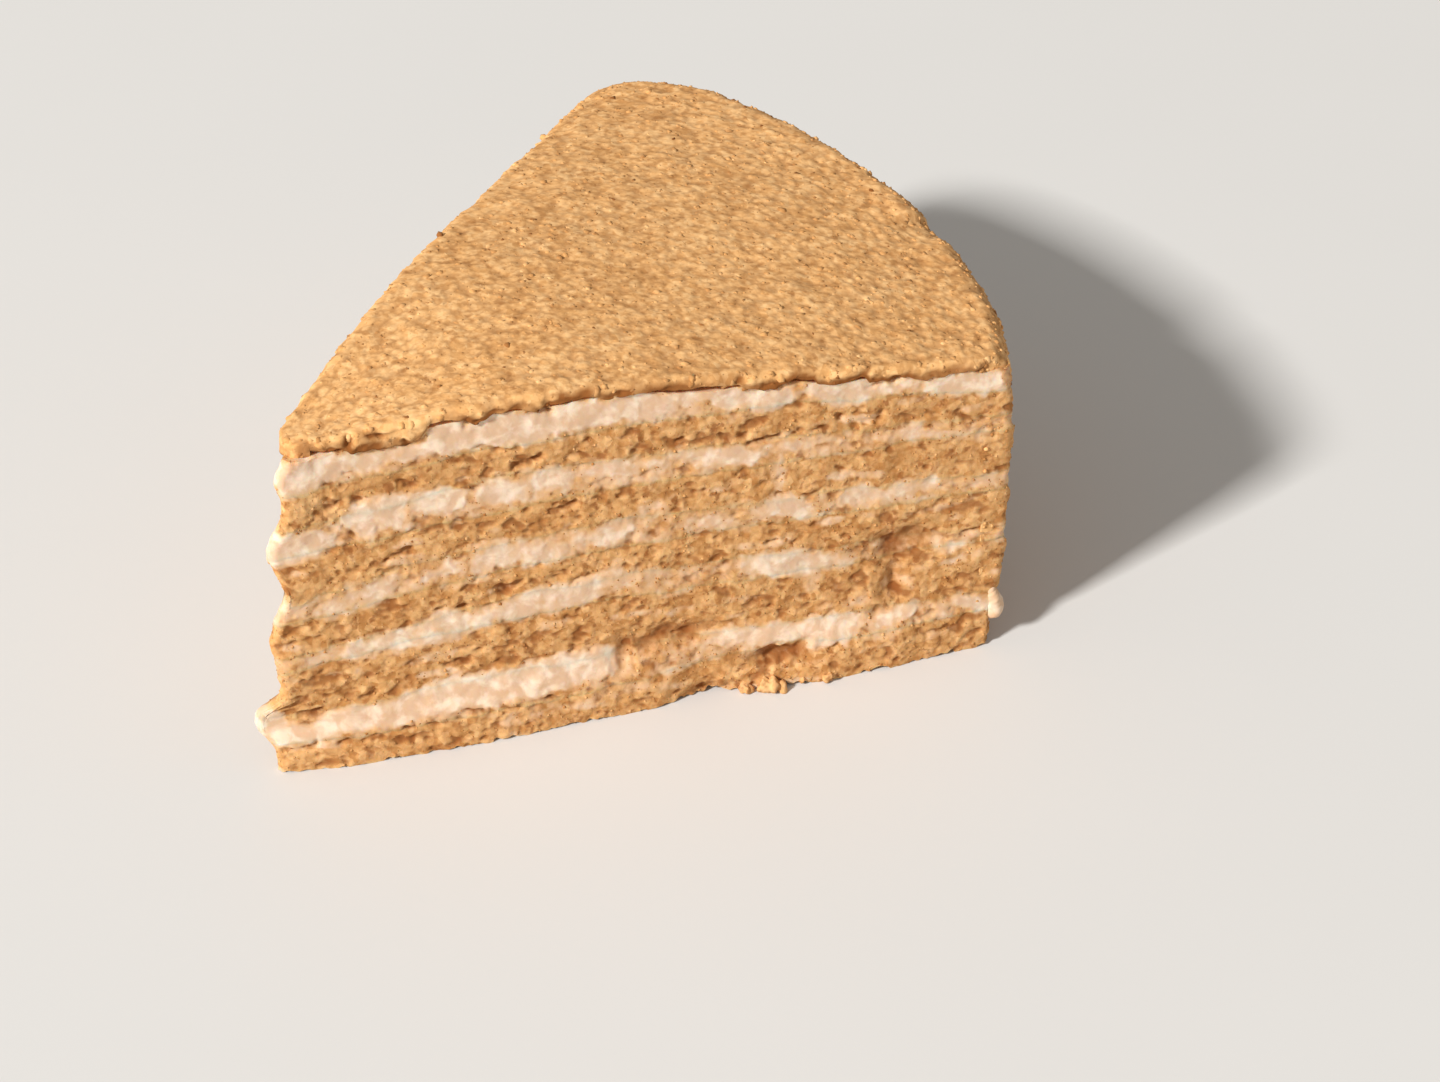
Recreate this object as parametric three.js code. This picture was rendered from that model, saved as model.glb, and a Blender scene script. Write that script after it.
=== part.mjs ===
// A slice of honey cake: five thin sponges, five spreads of cream, and a coat of fine crumb
// over the top and the rim. Millimetres, +Z up, +X from the slice's tip towards the rim.
import * as THREE from "three";
import { mergeVertices } from "three/addons/utils/BufferGeometryUtils.js";

// The plan: two straight cuts that would meet at a sharp tip, a small nose there, and a round rim.
const WEDGE_ANGLE = THREE.MathUtils.degToRad(51.25);
const NOSE_RADIUS = 1.2;
const RIM_RADIUS = 112.1;
const RIM_CENTRE = new THREE.Vector2(16.1, 23.5); // from the sharp tip: the cake was cut off-centre
const BACK_CORNER = { depth: 14, share: 0.17 }; // rounds the corner of the back cut and the rim
const FRONT_CORNER = { depth: 2.3, share: 0.05 };

// Each layer from the bottom up: its thickness at four even steps from the tip to the rim, and
// how far its end stands out at the nose.
const SPONGE = "sponge";
const CREAM = "cream";
const LAYERS = [
  { name: "sponge_1", kind: SPONGE, thickness: [5.0, 5.6, 7.3, 7.0], noseReach: 0.7 },
  { name: "cream_1", kind: CREAM, thickness: [5.1, 5.8, 4.0, 3.5], noseReach: 4.6 },
  { name: "sponge_2", kind: SPONGE, thickness: [8.1, 9.5, 8.8, 9.0], noseReach: -0.2 },
  { name: "cream_2", kind: CREAM, thickness: [2.1, 4.1, 3.9, 2.0], noseReach: 0.4 },
  { name: "sponge_3", kind: SPONGE, thickness: [6.4, 4.8, 5.9, 7.3], noseReach: 0 },
  { name: "cream_3", kind: CREAM, thickness: [3.6, 4.9, 3.9, 3.0], noseReach: -1.1 },
  { name: "sponge_4", kind: SPONGE, thickness: [7.4, 5.5, 6.6, 7.5], noseReach: 0 },
  { name: "cream_4", kind: CREAM, thickness: [5.0, 5.5, 4.0, 2.5], noseReach: 0.5 },
  { name: "sponge_5", kind: SPONGE, thickness: [5.9, 5.0, 5.6, 4.2], noseReach: -2.1 },
  { name: "cream_5", kind: CREAM, thickness: [5.5, 5.9, 3.5, 3.5], noseReach: -1.1 },
];
const LAYER_GAP = 0.3; // between touching layers
const NOSE_ZONE = 9; // the length over which a layer's end stands out
const REACH_WAY = new THREE.Vector2(-1, 1).normalize(); // the way in which it does
const RIM_ZONE = 7; // the length over which a cut turns even where it meets the coat

// The crumb coat.
const COAT_TOP = 2.2;
const COAT_SIDE = 2.4;
const COAT_NOSE_TRIM = 3; // the coat stops short of the nose
const SHOULDER = 5; // the radius where the top turns down into the rim
const COAT_LIFT = 1; // the coat's lower edge clears the surface under the cake
const COAT_BUMP = 0.4;
const COAT_BUMP_SPREAD = 0.3;

// Unevenness of the cut faces and of the layers inside.
const SPONGE_CRAG = 0.8;
const CREAM_CRAG = 0.6;
const CREAM_BULGE = 0.5;
const CRAG_WAVES = [
  { along: 0.31, up: 0.7, seed: 2.4, share: 0.42 },
  { along: 0.67, up: -1.9, seed: 5.1, share: 0.33 },
  { along: 1.21, up: 3.1, seed: 1.3, share: 0.25 },
];
const BACK_WAVE = 0.8; // how far the layers rise and dip at the back cut
const BACK_WAVE_LENGTH = 46;
const BACK_WAVE_TURN = 1.9; // how far each boundary's wave is ahead of the one below

// Torn places of the front cut: where each is from the sharp tip and above the foot, its half
// length and half height, and how deep it goes.
const TEARS = [
  { along: 66, up: 0.5, length: 5.5, height: 2.2, depth: 3.0 },
  { along: 76, up: 5.8, length: 5.0, height: 1.6, depth: 2.2 },
  { along: 59, up: 12.2, length: 8.0, height: 2.4, depth: 1.6 },
  { along: 95, up: 21.5, length: 4.5, height: 3.0, depth: 2.6 },
  { along: 95, up: 14.0, length: 3.0, height: 4.0, depth: 2.0 },
];

// How finely the solids are divided.
const ALONG = 24;
const ACROSS = 8;
const ROWS = 3;
const COAT_ON_TOP = 20;
const COAT_ON_SHOULDER = 4;
const COAT_ON_SIDE = 8;
const COAT_ACROSS = 16;

const FINISH = {
  sponge: new THREE.MeshStandardMaterial({ color: 0xc89a5e, roughness: 0.9, metalness: 0 }),
  cream: new THREE.MeshStandardMaterial({ color: 0xefdcc4, roughness: 0.55, metalness: 0 }),
  coat: new THREE.MeshStandardMaterial({ color: 0xcf9f5f, roughness: 0.95, metalness: 0 }),
};

const { clamp, lerp, smoothstep } = THREE.MathUtils;

// A smooth uneven value from -1 to 1, different for each seed.
function crag(along, up, seed) {
  return CRAG_WAVES.reduce((sum, wave) => {
    const turn = along * wave.along + up * wave.up + seed * wave.seed;
    return sum + wave.share * Math.sin(turn);
  }, 0);
}

// The value at a share from 0 to 1 along evenly spaced values, on a smooth curve.
function alongValues(values, share) {
  const place = clamp(share, 0, 1) * (values.length - 1);
  const first = Math.min(Math.floor(place), values.length - 2);
  const before = values[Math.max(first - 1, 0)];
  const after = values[Math.min(first + 2, values.length - 1)];
  const [a, b] = [values[first], values[first + 1]];
  const s = place - first;
  const rise = (b - before) / 2;
  const fall = (after - a) / 2;
  return (
    a * (1 + 2 * s) * (1 - s) ** 2 +
    rise * s * (1 - s) ** 2 +
    b * s * s * (3 - 2 * s) +
    fall * s * s * (s - 1)
  );
}

// How much a rounded corner takes off the rim's distance, at a share from 0 to 1 towards it.
function cornerLoss(corner, share) {
  const s = clamp((share - 1 + corner.share) / corner.share, 0, 1);
  return corner.depth * (1 - Math.sqrt(1 - s * s));
}

// The direction from the sharp tip at a share of the wedge, 0 at the front cut and 1 at the back.
function wayFromTip(across) {
  const angle = lerp(-WEDGE_ANGLE / 2, WEDGE_ANGLE / 2, across);
  return new THREE.Vector2(Math.cos(angle), Math.sin(angle));
}

// Distance from the sharp tip to the nose, a circle that touches both cuts.
function noseDistance(across) {
  const way = wayFromTip(across);
  const centre = NOSE_RADIUS / Math.sin(WEDGE_ANGLE / 2);
  const half = Math.sqrt(Math.max(NOSE_RADIUS ** 2 - (centre * way.y) ** 2, 0));
  return centre * way.x - half;
}

// Distance from the sharp tip to the rim.
function rimDistance(across) {
  const toCentre = RIM_CENTRE.dot(wayFromTip(across));
  const half = Math.sqrt(toCentre ** 2 - RIM_CENTRE.lengthSq() + RIM_RADIUS ** 2);
  return toCentre + half - cornerLoss(BACK_CORNER, across) - cornerLoss(FRONT_CORNER, 1 - across);
}

function planPoint(distance, across) {
  return wayFromTip(across).multiplyScalar(distance);
}

// The outward direction of the front cut (side -1) or the back cut (side 1).
function cutNormal(side) {
  const angle = side * (WEDGE_ANGLE / 2 + Math.PI / 2);
  return new THREE.Vector2(Math.cos(angle), Math.sin(angle));
}

// Height of the boundary above the first count layers, at a place of the plan. The boundaries
// inside the slice wave towards the back cut, and the foot and the top don't.
function boundary(count, distance, across) {
  const share = distance / rimDistance(across);
  const thicknesses = LAYERS.slice(0, count).map((layer) => alongValues(layer.thickness, share));
  const flat = thicknesses.reduce((sum, thickness) => sum + thickness, 0);
  const turn = (distance / BACK_WAVE_LENGTH) * 2 * Math.PI + count * BACK_WAVE_TURN;
  const inside = Math.sin((Math.PI * count) / LAYERS.length);
  return flat + BACK_WAVE * inside * across * Math.sin(turn);
}

// Moves each vertex of a divided unit box by a rule and joins its six sides into one closed skin.
function warpedBox(along, across, up, rule) {
  const box = new THREE.BoxGeometry(1, 1, 1, along, across, up);
  box.deleteAttribute("normal");
  box.deleteAttribute("uv");
  const position = box.getAttribute("position");
  const vertex = new THREE.Vector3();
  for (let i = 0; i < position.count; i += 1) {
    vertex.fromBufferAttribute(position, i).addScalar(0.5);
    position.setXYZ(i, ...rule(vertex.x, vertex.y, vertex.z).toArray());
  }
  const skin = mergeVertices(box, 1e-4);
  skin.computeVertexNormals();
  return skin;
}

// Puts even steps across the wedge closer together near the two cuts.
function crowdEnds(share) {
  return (1 - Math.cos(Math.PI * share)) / 2;
}

// How deep the torn places go into the front cut, at a place on it.
function tornDepth(along, up) {
  return TEARS.reduce((depth, tear) => {
    const away = ((along - tear.along) / tear.length) ** 2 + ((up - tear.up) / tear.height) ** 2;
    return depth + tear.depth * Math.exp(-away);
  }, 0);
}

// How far the cut face of a layer stands out, at a share of the layer's own height.
function cutRelief(layer, index, side, distance, share) {
  const rough = crag(distance, share, index + (side > 0 ? LAYERS.length : 0));
  if (layer.kind === SPONGE) return SPONGE_CRAG * rough;
  return CREAM_CRAG * rough + CREAM_BULGE * Math.sin(Math.PI * share);
}

function layerGeometry(layer, index) {
  return warpedBox(ALONG, ACROSS, ROWS, (u, v, w) => {
    const across = crowdEnds(v);
    const nose = noseDistance(across);
    const end = rimDistance(across) - COAT_SIDE - LAYER_GAP;
    const distance = lerp(nose, end, u);
    const nearNose = 1 - smoothstep(distance - nose, 0, NOSE_ZONE);
    const place = planPoint(distance, across);
    place.addScaledVector(REACH_WAY, layer.noseReach * nearNose);
    const low = boundary(index, distance, across) + (index > 0 ? LAYER_GAP / 2 : 0);
    const high = boundary(index + 1, distance, across) - LAYER_GAP / 2;
    const height = lerp(low, high, w);
    if (v === 0 || v === 1) {
      const side = Math.sign(v - 0.5);
      const torn = side < 0 ? tornDepth(distance, height) : 0;
      const out = cutRelief(layer, index, side, distance, w) - torn;
      place.addScaledVector(cutNormal(side), out * smoothstep(end - distance, 0, RIM_ZONE));
    }
    return new THREE.Vector3(place.x, place.y, height);
  });
}

// The coat's section at one station on its way over the top, round the shoulder and down the rim:
// distance from the sharp tip and height, of its inner and outer face.
function coatSection(station, across) {
  const rim = rimDistance(across);
  const inside = rim - COAT_SIDE;
  const turnFrom = rim - SHOULDER;
  const seat = (distance) => boundary(LAYERS.length, distance, across) + LAYER_GAP / 2;
  if (station <= COAT_ON_TOP) {
    const from = noseDistance(across) + COAT_NOSE_TRIM;
    const distance = lerp(from, turnFrom, station / COAT_ON_TOP);
    return { inner: [distance, seat(distance)], outer: [distance, seat(distance) + COAT_TOP] };
  }
  const turnTop = seat(turnFrom) + COAT_TOP;
  if (station <= COAT_ON_TOP + COAT_ON_SHOULDER) {
    const share = (station - COAT_ON_TOP) / COAT_ON_SHOULDER;
    const turn = (share * Math.PI) / 2;
    const distance = lerp(turnFrom, inside, share);
    const outer = [turnFrom + SHOULDER * Math.sin(turn), turnTop - SHOULDER * (1 - Math.cos(turn))];
    return { inner: [distance, seat(distance)], outer };
  }
  const share = (station - COAT_ON_TOP - COAT_ON_SHOULDER) / COAT_ON_SIDE;
  return {
    inner: [inside, lerp(seat(inside), COAT_LIFT, share)],
    outer: [rim, lerp(turnTop - SHOULDER, COAT_LIFT, share)],
  };
}

function coatGeometry() {
  const stations = COAT_ON_TOP + COAT_ON_SHOULDER + COAT_ON_SIDE;
  return warpedBox(stations, COAT_ACROSS, 1, (u, v, w) => {
    const across = crowdEnds(v);
    const station = Math.round(u * stations);
    const section = coatSection(station, across);
    const [distance, height] = w === 0 ? section.inner : section.outer;
    const place = planPoint(distance, across);
    const outside = w === 1 && station < stations;
    const bump = outside ? COAT_BUMP * crag(place.x, COAT_BUMP_SPREAD * (place.y + height), 0) : 0;
    if (station <= COAT_ON_TOP) return new THREE.Vector3(place.x, place.y, height + bump);
    place.addScaledVector(wayFromTip(across), bump);
    return new THREE.Vector3(place.x, place.y, height);
  });
}

function part(name, geometry, material) {
  const mesh = new THREE.Mesh(geometry, material);
  mesh.name = name;
  return mesh;
}

// The slice is built from its sharp tip, then moved so that the middle of its foot is the origin.
const slice = new THREE.Group();
LAYERS.forEach((layer, index) => {
  slice.add(part(layer.name, layerGeometry(layer, index), FINISH[layer.kind]));
});
slice.add(part("crumb_coat", coatGeometry(), FINISH.coat));

const extent = new THREE.Box3().setFromObject(slice);
const middle = extent.getCenter(new THREE.Vector3());
slice.position.set(-middle.x, -middle.y, -extent.min.z);

const honeyCake = new THREE.Group();
honeyCake.add(slice);

export default honeyCake;
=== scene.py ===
"""Looks of a slice of honey cake: crumbly sponges, ragged cream, a coat of fine crumb, and loose crumbs.

Sizes are in millimetres, from the sharp tip where the slice's two cuts would meet, unless a name says
otherwise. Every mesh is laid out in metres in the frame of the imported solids.
"""

from __future__ import annotations

import logging
import math
from abc import ABC, abstractmethod
from dataclasses import dataclass, field
from enum import Enum, IntEnum

import bmesh
import bpy
import numpy as np
from mathutils import Matrix, Vector
from mathutils.bvhtree import BVHTree


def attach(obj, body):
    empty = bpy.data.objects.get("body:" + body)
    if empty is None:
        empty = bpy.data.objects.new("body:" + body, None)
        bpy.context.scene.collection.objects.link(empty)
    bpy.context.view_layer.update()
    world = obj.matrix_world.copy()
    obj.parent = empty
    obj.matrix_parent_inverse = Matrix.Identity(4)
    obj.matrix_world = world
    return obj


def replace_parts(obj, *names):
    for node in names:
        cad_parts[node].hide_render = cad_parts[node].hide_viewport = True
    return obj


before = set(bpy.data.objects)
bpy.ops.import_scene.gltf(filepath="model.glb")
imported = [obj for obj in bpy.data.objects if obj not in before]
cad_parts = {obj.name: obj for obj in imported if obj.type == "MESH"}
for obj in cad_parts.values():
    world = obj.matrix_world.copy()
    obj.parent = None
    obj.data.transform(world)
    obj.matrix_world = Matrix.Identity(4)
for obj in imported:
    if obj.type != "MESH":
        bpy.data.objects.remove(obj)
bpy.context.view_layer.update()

Array = np.ndarray
Colour = tuple[float, float, float]
Span = tuple[float, float]
Pairs = tuple[tuple[float, float], ...]
Socket = bpy.types.NodeSocket
MM = 0.001
BODY = "root"
SPONGE_NODES = tuple(f"sponge_{number}" for number in range(1, 6))
CREAM_NODES = tuple(f"cream_{number}" for number in range(1, 6))
LAYER_NODES = tuple(node for pair in zip(SPONGE_NODES, CREAM_NODES) for node in pair)
COAT_NODE = "crumb_coat"

log = logging.getLogger("honey_cake")


class Side(IntEnum):
    """The stretches of the slice's outline, in order, anticlockwise from above."""

    FRONT = 0
    RIM = 1
    BACK = 2
    NOSE = 3


class Zone(IntEnum):
    """Where a place of a piece shows."""

    HIDDEN = 0
    SHOWN = 1
    RIM = 2


class Slot(Enum):
    """The record's material slots."""

    SPONGE = "sponge"
    CREAM = "cream"
    CRUMB = "crumb"


def ease(value: Array, low: float, high: float) -> Array:
    """A smooth step.

    Args:
        value: What is tested.
        low: Where the step leaves 0.
        high: Where it reaches 1, which may be below low.

    Returns:
        Values from 0 to 1.
    """
    share = np.clip((value - low) / (high - low), 0.0, 1.0)
    return share * share * (3.0 - 2.0 * share)


def along_line(value: Array, stations: Pairs) -> Array:
    """Values read off a line through stations of place and value."""
    places, values = np.array(stations).T
    return np.interp(value, places, values)


class CutSalt(IntEnum):
    """Tells the cuts' sets of lumps and grains apart."""

    CLUMPS = 20
    PORES = 30
    PATCHES = 40
    CRUMB = 50
    BUBBLES = 60
    CREAM = 70
    BENDS = 90
    WAVES = 400
    SLITS = 500
    SLIT_GAPS = 510
    EDGES = 520
    DRIFT = 530
    BANDS = 540
    MOTTLE = 550
    STREAKS = 560
    ENDS = 600


class CoatSalt(IntEnum):
    """Tells the coat's sets of lumps apart."""

    SWELLS = 0
    RIM = 10
    EDGES = 20
    LIP = 30
    PATCHES = 50


@dataclass(frozen=True)
class Grain:
    """Seeded unevenness over points in millimetres."""

    PRIMES = (73856093, 19349663, 83492791)
    SEED_STEP, SALT_STEP = 2654435761, 40503
    MIXES, LAST_SHIFT = ((15, 739981), (13, 1274126177)), 16
    MASK = 0xFFFFFFFF

    seed: int
    turn: tuple[tuple[float, ...], ...] = ((0.36, 0.48, -0.8), (-0.8, 0.6, 0.0), (0.48, 0.64, 0.6))

    def _draw(self, cells: Array, salt: int) -> Array:
        """One fixed random number from 0 to 1 for each whole-numbered cell."""
        keys = cells.astype(np.int64)
        first, second, third = (keys[..., axis] * prime for axis, prime in enumerate(self.PRIMES))
        mixed = first ^ second ^ third
        mixed = (mixed ^ (self.seed * self.SEED_STEP + salt * self.SALT_STEP)) & self.MASK
        for shift, factor in self.MIXES:
            mixed = ((mixed ^ (mixed >> shift)) * factor) & self.MASK
        return (mixed ^ (mixed >> self.LAST_SHIFT)) / self.MASK

    def smooth(self, points: Array, size: float | Array, salt: int = 0) -> Array:
        """Soft lumps.

        Args:
            points: Places, one to a row.
            size: How far apart the lumps are, or one size for each axis.
            salt: Tells one set of lumps from another.

        Returns:
            Heights from -1 to 1.
        """
        scaled = (points / size) @ np.array(self.turn)
        base = np.floor(scaled)
        part = scaled - base
        fade = part * part * (3.0 - 2.0 * part)
        total = np.zeros(len(points))
        for corner in np.ndindex(2, 2, 2):
            step = np.array(corner)
            weight = np.prod(np.where(step == 1, fade, 1.0 - fade), axis=1)
            total += weight * self._draw(base + step, salt)
        return 2.0 * total - 1.0

    def layered(self, points: Array, parts: Pairs, salt: int = 0) -> Array:
        """Soft lumps of several sizes, each with its own height, added up."""
        heights = [height * self.smooth(points, size, salt + count)
                   for count, (size, height) in enumerate(parts)]
        return np.sum(heights, axis=0)

    def cells(self, points: Array, size: float | Array, salt: int = 0) -> tuple[Array, Array]:
        """Packed grains.

        Args:
            points: Places, one to a row.
            size: How far apart the grains are, or one size for each axis.
            salt: Tells one set of grains from another.

        Returns:
            The distance to the nearest grain's middle, in sizes, and that grain's own random number.
        """
        scaled = (points / size) @ np.array(self.turn)
        base = np.floor(scaled)
        nearest = np.full(len(points), np.inf)
        own = np.zeros(len(points))
        for corner in np.ndindex(3, 3, 3):
            cell = base + np.array(corner) - 1
            middle = cell + np.stack([self._draw(cell, salt + k) for k in (1, 2, 3)], axis=1)
            away = np.linalg.norm(scaled - middle, axis=1)
            closer = away < nearest
            nearest = np.where(closer, away, nearest)
            own = np.where(closer, self._draw(cell, salt + 4), own)
        return nearest, own


@dataclass(frozen=True)
class Plan:
    """The slice from above: two straight cuts, a small nose and a round rim."""

    wedge_angle: float = math.radians(51.25)
    nose_radius: float = 1.2
    rim_radius: float = 112.1
    rim_centre: tuple[float, float] = (16.1, 23.5)
    back_corner_depth: float = 14.0
    back_corner_share: float = 0.17
    front_corner_depth: float = 2.3
    front_corner_share: float = 0.05
    plain_node: str = "sponge_3"

    @property
    def half(self) -> float:
        """Half the wedge's angle."""
        return self.wedge_angle / 2.0

    @property
    def nose_centre(self) -> float:
        """Distance from the sharp tip to the middle of the nose's circle."""
        return self.nose_radius / math.sin(self.half)

    @property
    def cut_start(self) -> float:
        """Distance from the sharp tip to where each cut leaves the nose."""
        return self.nose_radius / math.tan(self.half)

    def tip(self) -> Array:
        """The sharp tip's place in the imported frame, from the layer whose end keeps the plain nose."""
        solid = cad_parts[self.plain_node].data
        end = min((vertex.co for vertex in solid.vertices), key=lambda place: place.x)
        return np.array([end.x / MM - self.nose_centre + self.nose_radius, end.y / MM, 0.0])

    def ways(self, across: Array) -> Array:
        """Directions from the sharp tip, at shares from 0 at the front cut to 1 at the back."""
        angle = (across - 0.5) * self.wedge_angle
        return np.stack([np.cos(angle), np.sin(angle)], axis=-1)

    def nose_distances(self, across: Array) -> Array:
        """Distances from the sharp tip to the nose, at shares across the wedge."""
        way = self.ways(across)
        half = np.sqrt(np.maximum(self.nose_radius**2 - (self.nose_centre * way[..., 1]) ** 2, 0.0))
        return self.nose_centre * way[..., 0] - half

    def rim_distances(self, across: Array) -> Array:
        """Distances from the sharp tip to the rim, at shares across the wedge."""
        centre = np.array(self.rim_centre)
        toward = self.ways(across) @ centre
        reach = toward + np.sqrt(toward**2 - centre @ centre + self.rim_radius**2)
        back = self._corner_loss(across, self.back_corner_depth, self.back_corner_share)
        front = self._corner_loss(1.0 - across, self.front_corner_depth, self.front_corner_share)
        return reach - back - front

    @staticmethod
    def _corner_loss(across: Array, depth: float, share: float) -> Array:
        """What a rounded corner takes off the rim's distance, at shares from 0 to 1 towards it."""
        near = np.clip((across - 1.0 + share) / share, 0.0, 1.0)
        return depth * (1.0 - np.sqrt(1.0 - near**2))

    def cut_normal(self, side: Side) -> Array:
        """The outward direction of the front or the back cut."""
        turn = -1.0 if side is Side.FRONT else 1.0
        return np.array([-math.sin(self.half), turn * math.cos(self.half)])


@dataclass
class Outline:
    """Points round the slice at the layers' walls, close together on the cuts and not at the rim."""

    plan: Plan
    rim_inset: float = 2.0
    cut_inset: float = 0.2
    corner_share: float = 0.035
    cut_step: float = 0.24
    rim_points: int = 44
    nose_room: float = 0.35
    points: Array = field(init=False)
    normals: Array = field(init=False)
    sides: Array = field(init=False)
    along: Array = field(init=False)
    at_corner: Array = field(init=False)

    def __post_init__(self) -> None:
        """Samples the four sides in order."""
        front, back = self._cut(Side.FRONT), self._cut(Side.BACK)[::-1]
        rim = self._rim()
        nose, nose_normals = self._nose()
        cut_normals = [np.tile(self.plan.cut_normal(side), (len(cut), 1))
                       for side, cut in ((Side.FRONT, front), (Side.BACK, back))]
        self.points = np.concatenate([front, rim, back, nose])
        self.normals = np.concatenate([cut_normals[0], self._outward(rim), cut_normals[1], nose_normals])
        counts = [len(front), len(rim), len(back), len(nose)]
        self.sides = np.repeat(np.array(list(Side)), counts)
        self.along = np.linalg.norm(self.points, axis=1)
        turn = np.abs(np.arctan2(self.points[:, 1], self.points[:, 0]))
        from_cut = (self.plan.half - turn) / self.plan.wedge_angle
        self.at_corner = ease(from_cut, 2.0 * self.corner_share, 0.0)

    def _cut(self, side: Side) -> Array:
        """Points of one cut, from the nose to the rim."""
        end = self.cut_end(side)
        count = int((end - self.plan.cut_start) / self.cut_step)
        across = np.array(0.0 if side is Side.FRONT else 1.0)
        return np.linspace(self.plan.cut_start, end, count)[:, None] * self.plan.ways(across)

    def cut_end(self, side: Side) -> float:
        """How far from the sharp tip the layers of a cut end."""
        across = np.array(0.0 if side is Side.FRONT else 1.0)
        return float(self.plan.rim_distances(across)) - self.cut_inset

    def _rim(self) -> Array:
        """Points of the rim between the cuts, closer together at the corners."""
        across = (1.0 - np.cos(np.linspace(0.0, np.pi, self.rim_points)))[1:-1] / 2.0
        away = ease(np.minimum(across, 1.0 - across), 0.0, self.corner_share)
        inset = self.cut_inset + (self.rim_inset - self.cut_inset) * away
        return (self.plan.rim_distances(across) - inset)[:, None] * self.plan.ways(across)

    def _nose(self) -> tuple[Array, Array]:
        """Points and normals of the nose, from the back cut to the front cut."""
        first = math.pi / 2.0 + self.plan.half
        length = self.plan.nose_radius * (math.pi - self.plan.wedge_angle)
        turn = np.linspace(first, 2.0 * math.pi - first, int(length / self.cut_step) + 3)[1:-1]
        normals = np.stack([np.cos(turn), np.sin(turn)], axis=1)
        return np.array([self.plan.nose_centre, 0.0]) + self.plan.nose_radius * normals, normals

    @staticmethod
    def _outward(line: Array) -> Array:
        """Outward directions of an anticlockwise line."""
        step = np.gradient(line, axis=0)
        turned = np.stack([step[:, 1], -step[:, 0]], axis=1)
        return turned / np.linalg.norm(turned, axis=1, keepdims=True)

    def inset(self, depth: float) -> Array:
        """The outline moved inwards by a depth, less at the nose, where the slice is narrow."""
        room = np.minimum(depth, self.nose_room * self.along)
        return self.points - room[:, None] * self.normals


@dataclass
class Solids:
    """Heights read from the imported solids."""

    tip: Array
    probe_height: float = 90.0
    trees: dict[str, BVHTree] = field(default_factory=dict)

    def tops(self, node: str, places: Array) -> Array:
        """Heights of a solid's upper face.

        Args:
            node: The solid's name.
            places: Plan points from the sharp tip, one to a row.

        Returns:
            One height for each point, that of the nearest face where the solid isn't below it.
        """
        tree = self._tree(node)
        down = Vector((0.0, 0.0, -1.0))
        found = np.empty(len(places))
        for row, place in enumerate(places):
            start = Vector(((place[0] + self.tip[0]) * MM, (place[1] + self.tip[1]) * MM,
                            self.probe_height * MM))
            hit = tree.ray_cast(start, down)[0] or tree.find_nearest(start)[0]
            found[row] = hit.z / MM
        return found

    def _tree(self, node: str) -> BVHTree:
        """The search tree of one solid, made once."""
        if node not in self.trees:
            shape = bmesh.new()
            shape.from_mesh(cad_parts[node].data)
            self.trees[node] = BVHTree.FromBMesh(shape)
            shape.free()
        return self.trees[node]


@dataclass(frozen=True)
class Tear:
    """A torn place of the front cut: its middle, half sizes and depth."""

    along: float
    up: float
    length: float
    height: float
    depth: float

    def at(self, along: Array, up: Array) -> Array:
        """Depths of the tear at places on the cut."""
        away = ((along - self.along) / self.length) ** 2 + ((up - self.up) / self.height) ** 2
        return self.depth * np.exp(-away)


@dataclass(frozen=True)
class Crevice:
    """A dark slit where two layers part: its two ends on the cut, its half height and its depth."""

    start: tuple[float, float]
    end: tuple[float, float]
    half: float
    depth: float
    fade: Span = (0.2, 1.9)

    def at(self, along: Array, up: Array) -> Array:
        """Depths of the slit at places on the cut."""
        step = np.subtract(self.end, self.start)
        share = ((along - self.start[0]) * step[0] + (up - self.start[1]) * step[1]) / (step @ step)
        share = np.clip(share, 0.0, 1.0)
        away = np.hypot(along - self.start[0] - share * step[0], up - self.start[1] - share * step[1])
        return self.depth * (1.0 - ease(away / self.half, *self.fade))


@dataclass(frozen=True)
class Spread:
    """Cream that shows on a cut: stations of along, lower edge, upper edge and how clean it is."""

    stations: tuple[tuple[float, float, float, float], ...]

    def cover(self, along: Array, up: Array, wander: Array, soft: float) -> Array:
        """How much of the spread covers places on the cut.

        Args:
            along: Distances along the cut.
            up: Heights.
            wander: How far the spread's edge strays outwards at each place.
            soft: Half the width over which the edge fades.

        Returns:
            Values from 0 to the spread's cleanness at each place.
        """
        places, low, high, clean = np.array(self.stations).T
        tall = np.minimum(up - np.interp(along, places, low), np.interp(along, places, high) - up)
        inside = np.minimum(tall, np.minimum(along - places[0], places[-1] - along))
        return np.interp(along, places, clean) * ease(inside + wander, -soft, soft)


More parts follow.
